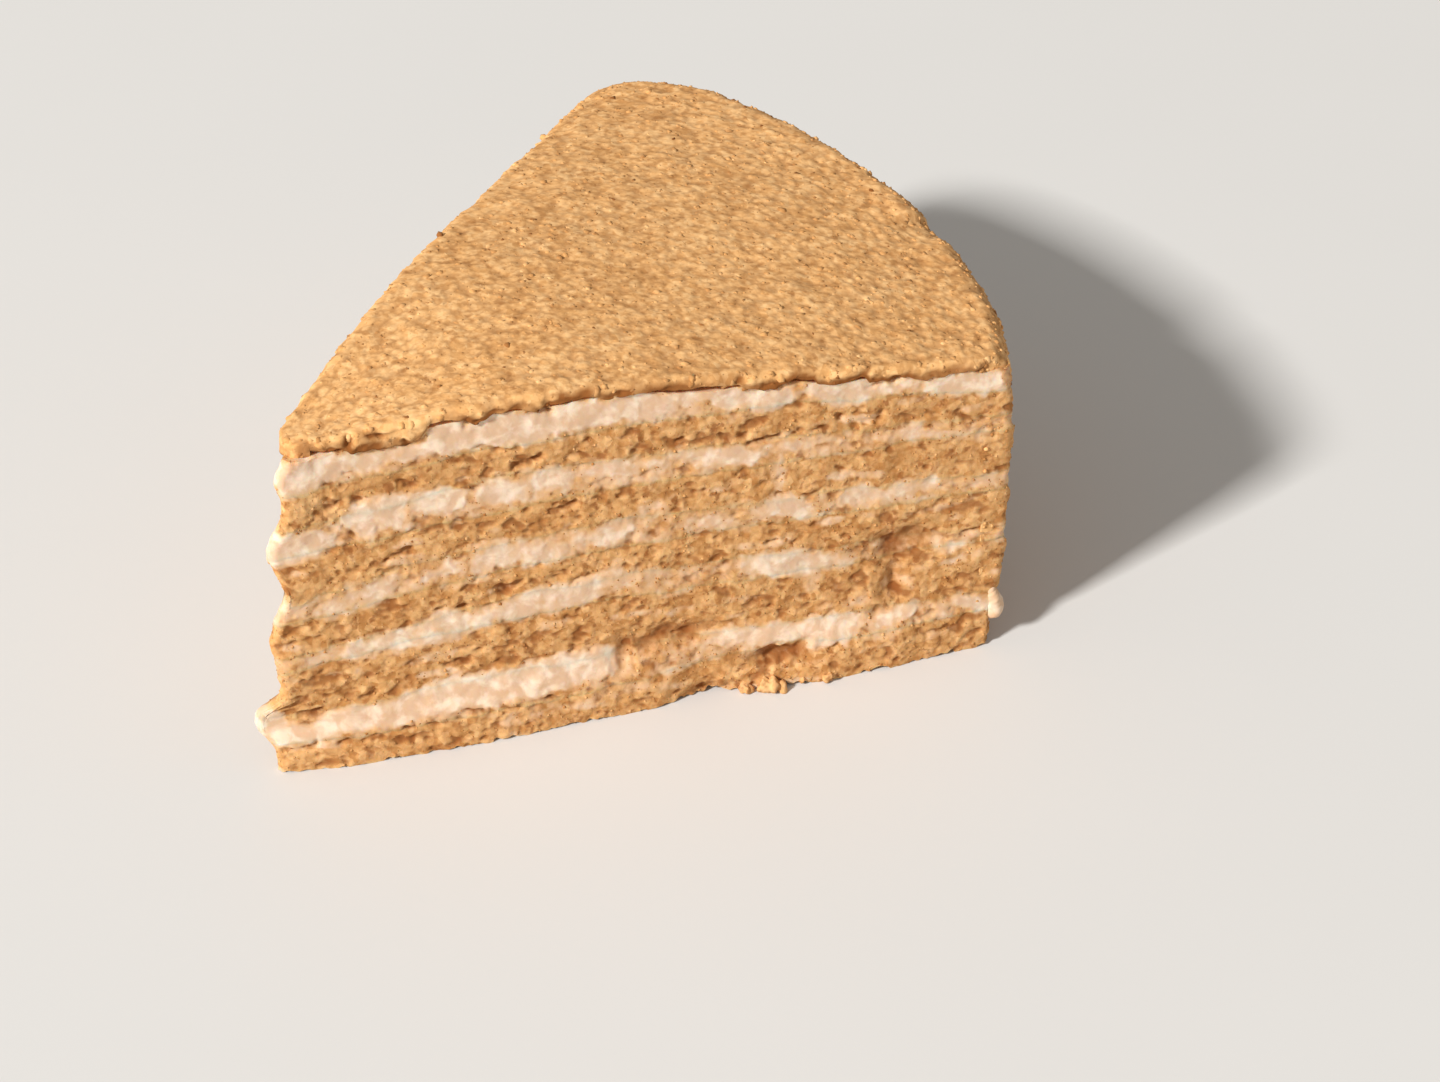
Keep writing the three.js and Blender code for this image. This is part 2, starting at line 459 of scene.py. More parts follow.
FRONT_SPREADS: tuple[Spread, ...] = (
    Spread(((-5, 7.2, 13, 1), (-1.5, 7, 13.4, 1), (0, 5.4, 12.6, 1), (1.6, 5.2, 9.8, 1), (5, 5.2, 8.4, 1),
            (8, 5.2, 10.4, 1), (16, 5.2, 9.4, 0.95), (20, 5.3, 11, 1), (28, 5.5, 12.8, 1),
            (31, 5.5, 12.4, 0.92), (33, 5.5, 12.2, 1), (37, 5.6, 12.2, 0.94), (42, 6, 12.8, 1),
            (50.6, 6.8, 12.5, 1), (51.4, 7.4, 11.6, 0.36), (56, 8.2, 10.6, 0.48), (62, 8.6, 10.4, 0.58),
            (65, 8.9, 10.6, 0.6), (66.5, 9, 11, 1), (69, 8.2, 12.2, 1), (72, 7.6, 11.9, 1),
            (75, 7.1, 11.3, 1), (80, 6.9, 10.6, 0.95), (81, 6.6, 11.2, 0.95), (82, 4.9, 11.4, 0.95),
            (84.2, 4.2, 11.3, 0.9), (85.3, 5.6, 11.2, 0.95), (88, 5, 11.2, 0.9), (89.8, 7.2, 10.8, 0.6),
            (91.4, 7, 9, 0.55), (92.5, 6.4, 9.4, 0.85), (95, 6.8, 10.2, 0.92), (97, 7.4, 10.6, 0.92),
            (98.2, 7.8, 9.8, 0.6), (100, 7.6, 9.4, 0.3), (103, 8.2, 9.6, 0.35), (104, 8, 10, 0.9),
            (105.5, 7.4, 10.3, 0.92), (108, 6.2, 9, 0.9), (110.4, 6.2, 8, 0.8))),
    Spread(((3, 18.2, 20.6, 0.3), (5, 18.3, 20.6, 0.42), (9.5, 18.5, 21, 0.5), (11, 18.5, 21.2, 0.78),
            (15, 18.3, 21.5, 0.82), (20, 18.2, 22.4, 0.9), (25, 18.8, 24.1, 0.95), (28, 19.2, 24, 0.92),
            (30, 19.8, 23, 0.8), (31, 20.2, 23.2, 0.9), (35, 20, 24.6, 0.95), (40, 20, 25.4, 0.95),
            (42.4, 20.4, 24.8, 0.82), (43.4, 20.5, 24.8, 0.93), (46.4, 20.8, 25.4, 0.85),
            (49, 21.8, 26.6, 0.68), (51, 22.4, 27.2, 0.74), (55, 23.4, 26.6, 0.66), (58, 23.2, 25.4, 0.5),
            (61, 22.6, 24.8, 0.46), (65, 22, 24.6, 0.55), (69.5, 21.6, 24, 0.5), (70.6, 21.6, 23.8, 1),
            (73, 20.4, 24.5, 1), (78, 19.2, 24, 1), (81.4, 18.5, 23.4, 0.95), (82.6, 18.9, 22.6, 0.7),
            (88, 18.7, 21.6, 0.68), (91.4, 19.6, 21.2, 0.5), (93, 19, 21, 0.2), (99, 20.4, 21.8, 0.2),
            (100.4, 20.2, 21.8, 0.72), (103, 18.7, 21, 0.74), (107, 18.6, 20.8, 0.6),
            (109, 18.6, 20.4, 0.3))),
    Spread(((0, 26.2, 30.2, 0.75), (4.2, 27.4, 30.4, 0.7), (5.2, 27.4, 30.4, 0.5), (10, 26.6, 30.2, 0.58),
            (14, 27.4, 30.8, 0.6), (15, 28, 31.6, 0.75), (18.4, 28.5, 32, 0.74), (19.6, 28.8, 32, 0.42),
            (22, 29.6, 32, 0.4), (23, 29.8, 32, 0.92), (26, 29.3, 33.2, 0.96), (28, 29.8, 32, 0.9),
            (29.2, 30, 32.6, 0.45), (30.4, 30.2, 33.2, 0.86), (37, 29.8, 34.4, 0.93), (41, 29.3, 34, 0.93),
            (44, 30.4, 33, 0.6), (45.6, 31.2, 34.2, 0.85), (50, 30.6, 35, 0.9), (53.4, 31.2, 35, 0.8),
            (55, 31.4, 35, 0.42), (60, 30.6, 33, 0.4), (61.4, 30.2, 32.6, 0.66), (64, 29.8, 32.8, 0.7),
            (66.8, 30, 32.6, 0.6), (69, 29.2, 31.6, 0.42), (73, 29.6, 32.4, 0.42),
            (74.2, 31.4, 33.8, 0.95), (77, 30, 34.1, 0.97), (80, 28.9, 32.4, 0.9),
            (81.6, 28.8, 31.8, 0.45), (84, 30, 32.8, 0.4), (85, 30.4, 33, 0.82), (88, 30, 33.8, 0.88),
            (91, 29.8, 32.8, 0.8), (92.4, 29.9, 32.8, 0.55), (93.4, 30, 33, 0.86), (96, 30.2, 33.2, 0.9),
            (99.8, 30.8, 33.2, 0.86), (101.2, 30.4, 32.6, 0.4), (103.6, 30, 32, 0.4),
            (104.6, 29.9, 31.7, 0.56), (108, 29.5, 31.5, 0.55), (110, 29.5, 31.5, 0.3))),
    Spread(((-1, 36.8, 41.2, 1), (3, 36.8, 42.8, 1), (7, 37.5, 42, 1), (10, 38.6, 41, 0.9),
            (10.9, 39.8, 42.8, 0.5), (11.6, 41.8, 44, 0.9), (13.6, 39.8, 44.8, 1), (15, 38.8, 45.2, 1),
            (17, 40.6, 45.6, 1), (19.8, 40.2, 45.6, 0.97), (20.8, 41.4, 45.2, 0.5), (21.8, 42.2, 45, 0.9),
            (25, 40.9, 45.8, 0.98), (28.6, 40.8, 45, 0.95), (29.7, 41.4, 45.2, 0.48),
            (30.8, 42, 45.6, 0.88), (34, 41, 45.3, 0.92), (37.4, 40.5, 44.4, 0.85),
            (38.8, 41.2, 44.6, 0.45), (39.8, 41.8, 45.8, 0.95), (42, 41.3, 46.1, 0.98),
            (44.4, 41.2, 45.8, 0.93), (45.4, 42.2, 45.8, 0.6), (46.6, 42.7, 45.6, 0.9),
            (50, 42.5, 45.5, 0.92), (54, 42.2, 45, 0.72), (58, 42.2, 44.8, 0.64), (59.4, 42.8, 45, 0.5),
            (60.4, 43, 45.3, 0.98), (64, 42, 45.3, 1), (70, 41, 43.4, 0.98), (71.8, 40.8, 42.8, 0.9),
            (73, 41, 43.4, 0.5), (75, 41.3, 43.8, 0.74), (78, 41.4, 44.1, 0.76), (83, 42, 43.4, 0.6),
            (85.6, 40.8, 43, 0.4), (93, 40.3, 42.6, 0.42), (94.4, 40.3, 42.2, 0.76), (97, 39.2, 43, 0.8),
            (101.6, 39.2, 41.8, 0.74), (103, 39, 41.2, 0.4), (110, 38.4, 40.4, 0.36))),
    Spread(((0, 49.6, 53, 1), (5, 48.6, 54.2, 1), (10, 49.6, 55, 1), (13, 50.4, 54.4, 0.95),
            (15, 50.7, 53.8, 0.86), (20, 50.8, 53.6, 0.84), (23.4, 50.9, 54, 0.9), (24.4, 51, 56.4, 1),
            (26.4, 51.2, 57, 1), (29, 51.3, 56, 1), (30.4, 51.4, 55.2, 0.95), (34, 51, 57, 1),
            (38, 50.3, 56.2, 1), (41.3, 51, 55.2, 0.95), (45, 51.3, 57, 1), (50, 51.2, 55.6, 1),
            (54, 50.8, 57, 1), (57, 50, 56, 1), (59.4, 50.8, 55.2, 0.9), (60.4, 52.6, 55.8, 0.85),
            (64.6, 53, 55.6, 0.88), (65.8, 51.4, 56, 1), (70, 50, 54.4, 1), (74, 49.2, 53.6, 1),
            (77.4, 49.8, 52.8, 0.95), (78.6, 50.2, 52.6, 0.45), (79.8, 50.4, 53, 0.55),
            (80.6, 50.2, 53, 0.92), (84, 48.4, 53, 0.93), (88.4, 48, 52.4, 0.93), (89.4, 48.2, 51.8, 0.75),
            (91, 48.4, 51.6, 0.9), (95.6, 48.6, 51, 0.9), (96.8, 48.2, 51, 0.55), (97.8, 47.6, 51, 1),
            (104, 46.5, 50.8, 1), (109.2, 46, 49.8, 0.95), (110.5, 46, 49.6, 0.6))),
    Spread(((80.4, 15.6, 20, 0.55), (83.2, 16, 20, 0.55))),
    Spread(((93.4, 17.6, 20, 0.32), (95, 14.6, 18.4, 0.36), (97.2, 12.6, 15, 0.32))),
    Spread(((54.6, 34.2, 36.6, 0.5), (59.6, 34.6, 37, 0.5))),
    Spread(((74.4, 34.6, 42, 0.55), (75.6, 34.8, 42.6, 0.62), (76.8, 38.6, 43, 0.55))),
    Spread(((59, 50.4, 54, 0.45), (66, 50.6, 54, 0.45))),
)

FRONT_CREVICES: tuple[Crevice, ...] = tuple(
    Crevice((start, low), (end, high), half, depth) for start, low, end, high, half, depth in (
        (1, 4.5, 6, 4.5, 0.4, 0.8), (9.5, 4.3, 25, 4.3, 0.42, 0.9), (26, 4.7, 31, 4.8, 0.4, 0.8),
        (34, 4.9, 44.5, 5, 0.4, 0.8), (74, 6.4, 81.5, 6.4, 0.6, 0.9), (84.6, 3.4, 86, 4.6, 0.5, 0.9),
        (99, 4.4, 104, 4.2, 0.35, 0.7), (4, 10.6, 7, 11, 0.5, 0.9), (13, 11.8, 15, 12, 0.5, 0.9),
        (20, 16, 22, 16.2, 0.4, 0.8), (24, 13.9, 29, 15.4, 0.45, 0.9), (44.4, 13.4, 46.2, 15, 0.6, 1.3),
        (89.4, 10, 93, 9.8, 0.5, 1.0), (32, 13.4, 35, 13.2, 0.4, 0.7), (9, 21.7, 13, 21.9, 0.35, 0.7),
        (24.6, 24.2, 30.6, 24.2, 0.4, 0.9), (30.6, 24.8, 36.8, 26.6, 0.6, 1.2),
        (40, 26.4, 45, 27, 0.5, 0.9), (59.6, 26.2, 63.6, 24.6, 0.7, 1.0), (65, 21.7, 72, 21.1, 0.35, 0.8),
        (74.5, 26, 76, 26.4, 0.45, 1.0), (77, 26.8, 80, 26.7, 0.35, 0.8), (81.6, 26, 82.4, 26, 0.45, 0.9),
        (49.6, 21, 53, 21.1, 0.35, 0.7), (105, 22, 110, 21.8, 0.5, 0.8), (10, 33.4, 14, 34, 0.4, 0.9),
        (13.6, 34.4, 21.6, 35.8, 0.45, 1.1), (16, 33.2, 19.6, 33, 0.35, 0.7),
        (31, 35.6, 38, 35.4, 0.35, 0.7), (43, 38.4, 45, 39, 0.55, 1.0), (61.6, 37.4, 67, 36.8, 0.5, 0.9),
        (69.6, 37.2, 74, 37, 0.5, 0.9), (75.6, 34.2, 83, 33.8, 0.35, 0.9), (84, 35, 88, 34.8, 0.4, 0.8),
        (16.6, 40.2, 18, 38.9, 0.4, 1.0), (8.2, 45.8, 10, 45.4, 0.5, 1.2),
        (11, 45.8, 14.4, 46.6, 0.6, 1.4), (19.8, 47, 22.4, 47, 0.45, 1.0), (29, 47.6, 32, 47.2, 0.5, 1.0),
        (36, 47, 40, 48, 0.5, 1.3), (44, 46.9, 47.6, 47, 0.45, 0.9), (53.6, 46.2, 58, 45.8, 0.4, 0.8),
        (60.4, 46.6, 64, 47.2, 0.45, 1.0), (66.6, 46.2, 70.4, 45.6, 0.5, 1.1),
        (71, 44.2, 78, 44.7, 0.4, 1.1), (78.6, 45.4, 83, 45, 0.45, 1.1),
        (85.4, 46, 87.2, 44.6, 0.55, 1.3), (88.6, 44.9, 91.2, 44.9, 0.5, 1.0),
        (93.4, 44.2, 96.4, 43.4, 0.5, 1.0), (98, 44.4, 101, 44, 0.35, 0.7),
        (103, 42.6, 107, 42, 0.55, 1.1), (12, 50.8, 16, 50.4, 0.35, 0.6),
        (28.4, 50.8, 30.4, 51.2, 0.3, 0.7), (30.6, 51, 34.4, 50.2, 0.3, 0.7),
        (35, 50.2, 37, 50, 0.3, 0.6), (13.2, 55.8, 17, 56.2, 0.8, 1.6), (20.6, 54.9, 23, 53.8, 0.4, 0.8),
        (29.4, 56.2, 31.2, 55, 0.5, 1.0), (40, 55.6, 42, 55.4, 0.4, 0.9),
        (75.6, 53.2, 80, 53.9, 0.5, 1.3), (89, 51, 93.6, 51.4, 0.45, 1.1),
    ))

TEARS: tuple[Tear, ...] = (
    Tear(66.0, 0.4, 5.0, 1.6, 1.3),
    Tear(77.0, 4.8, 5.2, 2.0, 1.9),
    Tear(59.5, 12.4, 8.5, 1.8, 1.4),
    Tear(95.5, 21.9, 6.0, 2.4, 1.5),
    Tear(94.6, 15.0, 1.9, 4.4, 1.4),
    Tear(52.0, 9.6, 1.6, 2.6, 1.0),
)


@dataclass(frozen=True)
class BackDraws:
    """Ranges that the back cut's spreads of cream and its crevices are drawn from."""

    step: float = 3.2
    clean: tuple[float, ...] = (1.0, 0.94, 0.86, 0.6, 0.42)
    clean_odds: tuple[float, ...] = (0.34, 0.24, 0.18, 0.14, 0.1)
    edge: Span = (-0.5, 0.8)
    least_height: float = 1.2
    slit_start: Span = (2.0, 9.0)
    slit_end_room: float = 9.0
    slit_length: Span = (1.5, 8.0)
    slit_lift: Span = (-0.2, 0.9)
    slit_half: Span = (0.35, 0.6)
    slit_depth: Span = (0.7, 1.3)
    slit_apart: Span = (1.5, 10.0)


@dataclass
class CutFaces:
    """What the layers share: their boundaries, the cream that shows, and the relief of the two cuts."""

    outline: Outline
    solids: Solids
    seed: int = 11
    probe_inset: float = 4.0
    waves: Pairs = ((8.0, 0.45), (3.2, 0.3), (1.3, 0.15))
    wave_apart: float = 13.0
    least_thick: float = 0.8
    nose_profile: Pairs = (
        (0, 1.0), (3.4, 1.0), (4.7, 1.6), (6, 2.6), (7.2, 3.6), (8.5, 4.0), (9.9, 3.8), (10.9, 3.0),
        (11.7, 1.8), (12.6, 0.5), (15, -0.3), (18, 0), (20, 0.5), (22, 1.0), (23.2, 1.0), (25, 0.5),
        (27, 0.1), (28.5, -0.5), (30, -1.2), (31.5, -1.5), (33, -1.0), (35, -0.4), (37, 0.5), (39, 0.6),
        (41, -0.2), (42.5, -1.0), (44, -1.6), (46, -1.8), (48, -1.7), (50, -1.0), (51.5, -1.2), (53, -2.0),
        (55, -2.5), (57, -3.2), (60, -3.4))
    reach_way: tuple[float, float] = (-math.sqrt(0.5), math.sqrt(0.5))
    reach_zone: float = 9.0
    reach_lead: float = 1.0
    reach_seen: float = 1.06
    reach_lift: float = 0.37
    out_seen: tuple[float, float] = (0.346, -0.748)
    foot_line: Pairs = (
        (0, 0), (10, 0.9), (30, 1.5), (50, 1.0), (58, 0.8), (64, 0.1), (72, 0.6), (84, 1.8), (96, 1.6),
        (108, 0.5))
    foot_height: Span = (4.0, 14.0)
    foot_lifts: Pairs = (
        (0, 0), (54, 0), (60, 0.1), (64, 0.25), (68, 0.25), (72, 0), (120, 0))
    foot_rough: float = 0.65
    foot_grains: tuple[tuple[float, int], ...] = ((2.0, 0), (0.9, 5))
    band_cover: float = 0.35
    band_soft: Span = (-0.8, 0.9)
    band_patch: float = 2.8
    band_uneven: float = 0.7
    streak: tuple[float, float, float] = (8.0, 8.0, 1.6)
    streak_cover: float = 0.43
    streak_range: Span = (0.05, 0.75)
    streak_break: float = 2.0
    streak_broken: float = 0.4
    mottle: Pairs = ((2.2, 0.24), (0.9, 0.2))
    mottle_range: Span = (0.05, 0.4)
    edge_soft: float = 1.3
    edge_wander: Pairs = ((4.0, 0.45), (1.7, 0.55), (0.8, 0.45))
    edge_drift: Pairs = ((2.6, 0.7), (1.2, 0.4))
    slit_rough: Pairs = ((2.4, 0.7), (1.0, 0.5))
    slit_share: float = 0.5
    slit_least: float = 0.15
    slit_gap: float = 1.9
    slit_gap_range: Span = (-0.4, 0.35)
    # Painted shade in crevices and tears: how strong it is, over which depths it grows, and how far it
    # takes the cream away
    slit_shade: float = 0.75
    slit_shade_range: Span = (0.2, 1.0)
    tear_shade: float = 0.9
    tear_shade_range: Span = (0.3, 1.5)
    tear_least: float = 0.55
    dent_shade_bares: float = 0.8
    end_zone: float = 10.0
    end_line: Pairs = (
        (0, -0.6), (5, -0.4), (9, 0.3), (12, 0.5), (15, 0.7), (20, 0.9), (25, 1.0), (30, 1.1), (35, 1.0),
        (40, 0.7), (45, 0.5), (48, 0.1), (50, -0.2), (53, -0.5), (60, -0.8))
    end_rough: Pairs = ((2.6, 0.35), (1.2, 0.35))
    crumb_parts: Pairs = ((4.4, 0.2), (2.1, 0.14), (1.05, 0.1), (0.55, 0.06))
    clump: tuple[float, float, float] = (1.5, 1.5, 1.1)
    clump_height: float = 0.15
    clump_middle: float = 0.5
    clump_bend: float = 0.6
    clump_bend_size: float = 1.0
    pores: Pairs = ((2.1, 0.6), (1.05, 0.5))
    pore_flat: tuple[float, float, float] = (1.0, 1.0, 1.5)
    pore_range: Span = (0.16, 0.58)
    pore_patch: float = 5.0
    pore_patchy: float = 0.2
    pore_depth: float = 0.26
    # Painted shade: how far pores, low places and bubbles darken
    pore_shade: float = 0.7
    hollow_shade: float = 0.25
    hollow_range: Span = (0.15, 0.8)
    # Tone follows the relief up to this height: painted light on raised crumb, painted shade in its low
    # places
    tone_height: float = 0.5
    cream_parts: Pairs = ((4.6, 0.16), (2.1, 0.1), (1.0, 0.06), (0.5, 0.03))
    cream_proud: float = 0.02
    cream_range: Span = (0.3, 0.85)
    bubble: float = 2.0
    bubble_share: float = 0.06
    bubble_edge: Span = (0.2, 0.08)
    bubble_depth: float = 0.15
    bubble_shade: float = 0.3
    back: BackDraws = BackDraws()
    boundaries: Array = field(init=False)
    behind: tuple[tuple[Spread, ...], tuple[Crevice, ...]] = field(init=False)

    def __post_init__(self) -> None:
        """Works out the boundaries between the layers, and what the back cut shows."""
        self.boundaries = self._boundaries()
        self.behind = self._behind()

    @property
    def grain(self) -> Grain:
        """The cuts' unevenness."""
        return Grain(self.seed)

    def _boundaries(self) -> Array:
        """Heights of the foot, of each boundary and of the uppermost cream, round the outline."""
        probes = self.outline.inset(self.probe_inset)
        heights = [np.zeros(len(probes))] + [self.solids.tops(node, probes) for node in LAYER_NODES]
        lines = np.stack(heights)
        for count in range(1, len(lines)):
            places = np.column_stack([self.outline.points, np.full(len(probes), self.wave_apart * count)])
            lines[count] += self.grain.layered(places, self.waves, CutSalt.WAVES)
        places = np.column_stack([self.outline.points, np.zeros(len(probes))])
        for size, salt in self.foot_grains:
            lines[0] += self.foot_rough * np.maximum(self.grain.smooth(places, size, salt), 0.0)
        lifts = along_line(self.outline.along, self.foot_lifts)
        lines[0] += np.where(self.outline.sides == Side.FRONT, lifts, 0.0)
        for count in range(1, len(lines)):
            lines[count] = np.maximum(lines[count], lines[count - 1] + self.least_thick)
        return lines

    def _behind(self) -> tuple[tuple[Spread, ...], tuple[Crevice, ...]]:
        """Seeded spreads of cream and crevices for the back cut."""
        draw, back = np.random.default_rng(self.seed), self.back
        columns = np.flatnonzero(self.outline.sides == Side.BACK)[::-1]
        along, end = self.outline.along[columns], self.outline.cut_end(Side.BACK)
        spreads, crevices = [], []
        for number in range(len(CREAM_NODES)):
            low, high = (self.boundaries[2 * number + step][columns] for step in (1, 2))
            places = np.arange(0.0, end, back.step)
            clean = draw.choice(back.clean, len(places), p=back.clean_odds)
            edges = draw.uniform(*back.edge, (2, len(places)))
            lower = np.interp(places, along, low) + edges[0]
            upper = np.maximum(np.interp(places, along, high) - edges[1], lower + back.least_height)
            spreads.append(Spread(tuple(zip(places, lower, upper, clean))))
            start = draw.uniform(*back.slit_start)
            while start < end - back.slit_end_room:
                stop = start + draw.uniform(*back.slit_length)
                lift = draw.uniform(*back.slit_lift)
                ends = [(place, float(np.interp(place, along, high)) + lift) for place in (start, stop)]
                half, depth = draw.uniform(*back.slit_half), draw.uniform(*back.slit_depth)
                crevices.append(Crevice(*ends, half, depth))
                start = stop + draw.uniform(*back.slit_apart)
        return tuple(spreads), tuple(crevices)

    def near_nose(self, along: Array) -> Array:
        """How far a place takes part in the layers' uneven ends: 1 at the nose, 0 well along the cuts."""
        start = self.outline.plan.cut_start
        return 1.0 - ease(along, start - self.reach_lead, start + self.reach_zone)

    def nose_moves(self, along: Array, up: Array) -> Array:
        """How far each place moves sideways because the layers end unevenly at the nose."""
        reach = along_line(up, self.nose_profile) * self.near_nose(along)
        return reach[:, None] * np.array(self.reach_way)

    def foot_out(self, along: Array, up: Array, sides: Array) -> Array:
        """How far the cut's lowest part stands out."""
        out = along_line(along, self.foot_line) * (1.0 - ease(up, *self.foot_height))
        return np.where(sides == Side.FRONT, out, 0.0)

    def seen(self, along: Array, up: Array, sides: Array) -> tuple[Array, Array]:
        """Where places of the front cut are seen on its even plane, where the listed shapes lie."""
        out = self.foot_out(along, up, sides)
        reach = along_line(up, self.nose_profile) * self.near_nose(along)
        shown = along + self.out_seen[0] * out - self.reach_seen * reach
        return shown, up + self.out_seen[1] * out + self.reach_lift * np.maximum(reach, 0.0)

    def end_moves(self, places: Array, column: Array) -> Array:
        """How far each place moves along the front cut because the layers end unevenly at the rim."""
        outline = self.outline
        at_front = ease(outline.cut_end(Side.FRONT) - outline.along, self.end_zone, 0.0)
        round_corner = (outline.sides == Side.RIM) & (outline.points[:, 1] < 0.0)
        near = np.where(outline.sides == Side.FRONT, at_front,
                        np.where(round_corner, outline.at_corner, 0.0))
        ragged = self.grain.layered(places, self.end_rough, CutSalt.ENDS) * near[column] ** 3
        move = along_line(places[:, 2], self.end_line) * near[column] + ragged
        return move[:, None] * outline.plan.ways(np.array(0.0))

    def dents(self, along: Array, up: Array, sides: Array, places: Array) -> tuple[Array, Array]:
        """How deep crevices and tears go at places on the cuts, and how far painted shade darkens them
        there.
        """
        ragged = self.grain.layered(places, self.slit_rough, CutSalt.SLITS)
        gaps = ease(self.grain.smooth(places, self.slit_gap, CutSalt.SLIT_GAPS), *self.slit_gap_range)
        broken = self.slit_least + (1.0 - self.slit_least) * gaps
        front = np.isin(sides, (Side.FRONT, Side.NOSE))
        slit, tear = np.zeros(len(along)), np.zeros(len(along))
        shown, height = self.seen(along[front], up[front], sides[front])
        strayed = height + ragged[front]
        slit[front] = np.max([each.at(shown, strayed) for each in FRONT_CREVICES], axis=0)
        tear[front] = np.sum([each.at(shown + ragged[front], strayed) for each in TEARS], axis=0)
        back = sides == Side.BACK
        if back.any():
            strayed = up[back] + ragged[back]
            slit[back] = np.max([each.at(along[back], strayed) for each in self.behind[1]], axis=0)
        slit *= broken
        torn = self.tear_least + (1.0 - self.tear_least) * broken
        # Painted shade: crevices and tears darken with their depth
        dent_shade = self.slit_shade * ease(slit, *self.slit_shade_range)
        dent_shade += self.tear_shade * ease(tear, *self.tear_shade_range) * torn
        return self.slit_share * slit + tear, np.minimum(dent_shade, 1.0)

    def cover(self, places: Array, column: Array) -> Array:
        """How much cream covers places on the walls, from 0 for bare crumb to 1 for clean cream."""
        along, sides, up = self.outline.along[column], self.outline.sides[column], places[:, 2]
        grain = self.grain
        wander = grain.layered(places, self.edge_wander, CutSalt.EDGES)
        along = along + grain.layered(places, self.edge_drift, CutSalt.DRIFT)
        front = np.isin(sides, (Side.FRONT, Side.NOSE))
        uneven = 1.0 + self.band_uneven * grain.smooth(places, self.band_patch, CutSalt.BANDS)
        cover = self._band(up, column) * uneven
        streaks = grain.smooth(places, np.array(self.streak), CutSalt.STREAKS)
        streaks += self.streak_broken * grain.smooth(places, self.streak_break, CutSalt.STREAKS + 1)
        cover = np.maximum(cover, self.streak_cover * ease(streaks, *self.streak_range))
        shown, height = self.seen(along[front], up[front], sides[front])
        marks = [spread.cover(shown, height, wander[front], self.edge_soft) for spread in FRONT_SPREADS]
        cover[front] = np.maximum(cover[front], np.max(marks, axis=0))
        back = sides == Side.BACK
        marks = [spread.cover(along[back], up[back], wander[back], self.edge_soft)
                 for spread in self.behind[0]]
        cover[back] = np.maximum(cover[back], np.max(marks, axis=0))
        mottle = grain.layered(places, self.mottle, CutSalt.MOTTLE)
        return np.clip(cover + mottle * ease(cover, *self.mottle_range), 0.0, 1.0)

    def _band(self, up: Array, column: Array) -> Array:
        """A weak smear of cream over the whole height of each spread."""
        smear = np.zeros(len(up))
        for number in range(len(CREAM_NODES)):
            low, high = (self.boundaries[2 * number + step][column] for step in (1, 2))
            smear = np.maximum(smear, ease(np.minimum(up - low, high - up), *self.band_soft))
        return self.band_cover * smear

    def crumb(self, places: Array) -> tuple[Array, Array]:
        """Relief of bare crumb, and how far each place lies in a pore."""
        grain = self.grain
        bends = [grain.smooth(places, self.clump_bend_size, CutSalt.BENDS + axis) for axis in range(3)]
        bent = places + self.clump_bend * np.stack(bends, axis=1)
        clump = grain.cells(bent, np.array(self.clump), CutSalt.CLUMPS)[0]
        patchy = self.pore_patchy * grain.smooth(places, self.pore_patch, CutSalt.PATCHES)
        pores = grain.layered(places * np.array(self.pore_flat), self.pores, CutSalt.PORES)
        hole = ease(pores + patchy, *self.pore_range)
        relief = grain.layered(places, self.crumb_parts, CutSalt.CRUMB)
        relief += self.clump_height * (self.clump_middle - clump)
        return relief - self.pore_depth * hole, hole

    def hollows(self, crumb: Array) -> Array:
        """How far painted shade darkens the low places of bare crumb."""
        return self.hollow_shade * ease(-crumb, *self.hollow_range)

    def _cream(self, places: Array) -> tuple[Array, Array]:
        """Relief of clean cream, and how far each place lies in an air bubble."""
        grain = self.grain
        bubble, own = grain.cells(places, self.bubble, CutSalt.BUBBLES)
        hole = np.where(own < self.bubble_share, ease(bubble, *self.bubble_edge), 0.0)
        relief = self.cream_proud + grain.layered(places, self.cream_parts, CutSalt.CREAM)
        return relief - self.bubble_depth * hole, hole

    def skin(self, places: Array, column: Array) -> tuple[Array, dict[str, Array]]:
        """How the walls look.

        Args:
            places: Even wall places, one to a row.
            column: Each place's number round the outline.

        Returns:
            How far each place stands out, and the marks creamy, pit (painted shade) and tone (painted
            light and shade from the relief).
        """
        along, sides, up = self.outline.along[column], self.outline.sides[column], places[:, 2]
        dent, dent_shade = self.dents(along, up, sides, places)
        # The painted shade in crevices and tears also takes the cream away there
        cover = self.cover(places, column) * (1.0 - self.dent_shade_bares * dent_shade)
        crumb, pore = self.crumb(places)
        cream, bubble = self._cream(places)
        soft = ease(cover, *self.cream_range)
        out = crumb + (cream - crumb) * soft
        out = out - dent + self.foot_out(along, up, sides)
        out *= np.where(sides == Side.RIM, self.outline.at_corner[column], 1.0)
        # Painted shade: pores and low places of bare crumb and bubbles in the cream darken, as do crevices
        # and tears
        pit = (self.pore_shade * pore + self.hollows(crumb)) * (1.0 - soft)
        pit = np.clip(pit + self.bubble_shade * bubble * soft + dent_shade, 0.0, 1.0)
        # Tone follows the crumb's relief, lighter where raised and darker where low: painted light and
        # shade
        return out, {"creamy": cover, "pit": pit, "tone": np.clip(crumb / self.tone_height, -1.0, 1.0)}


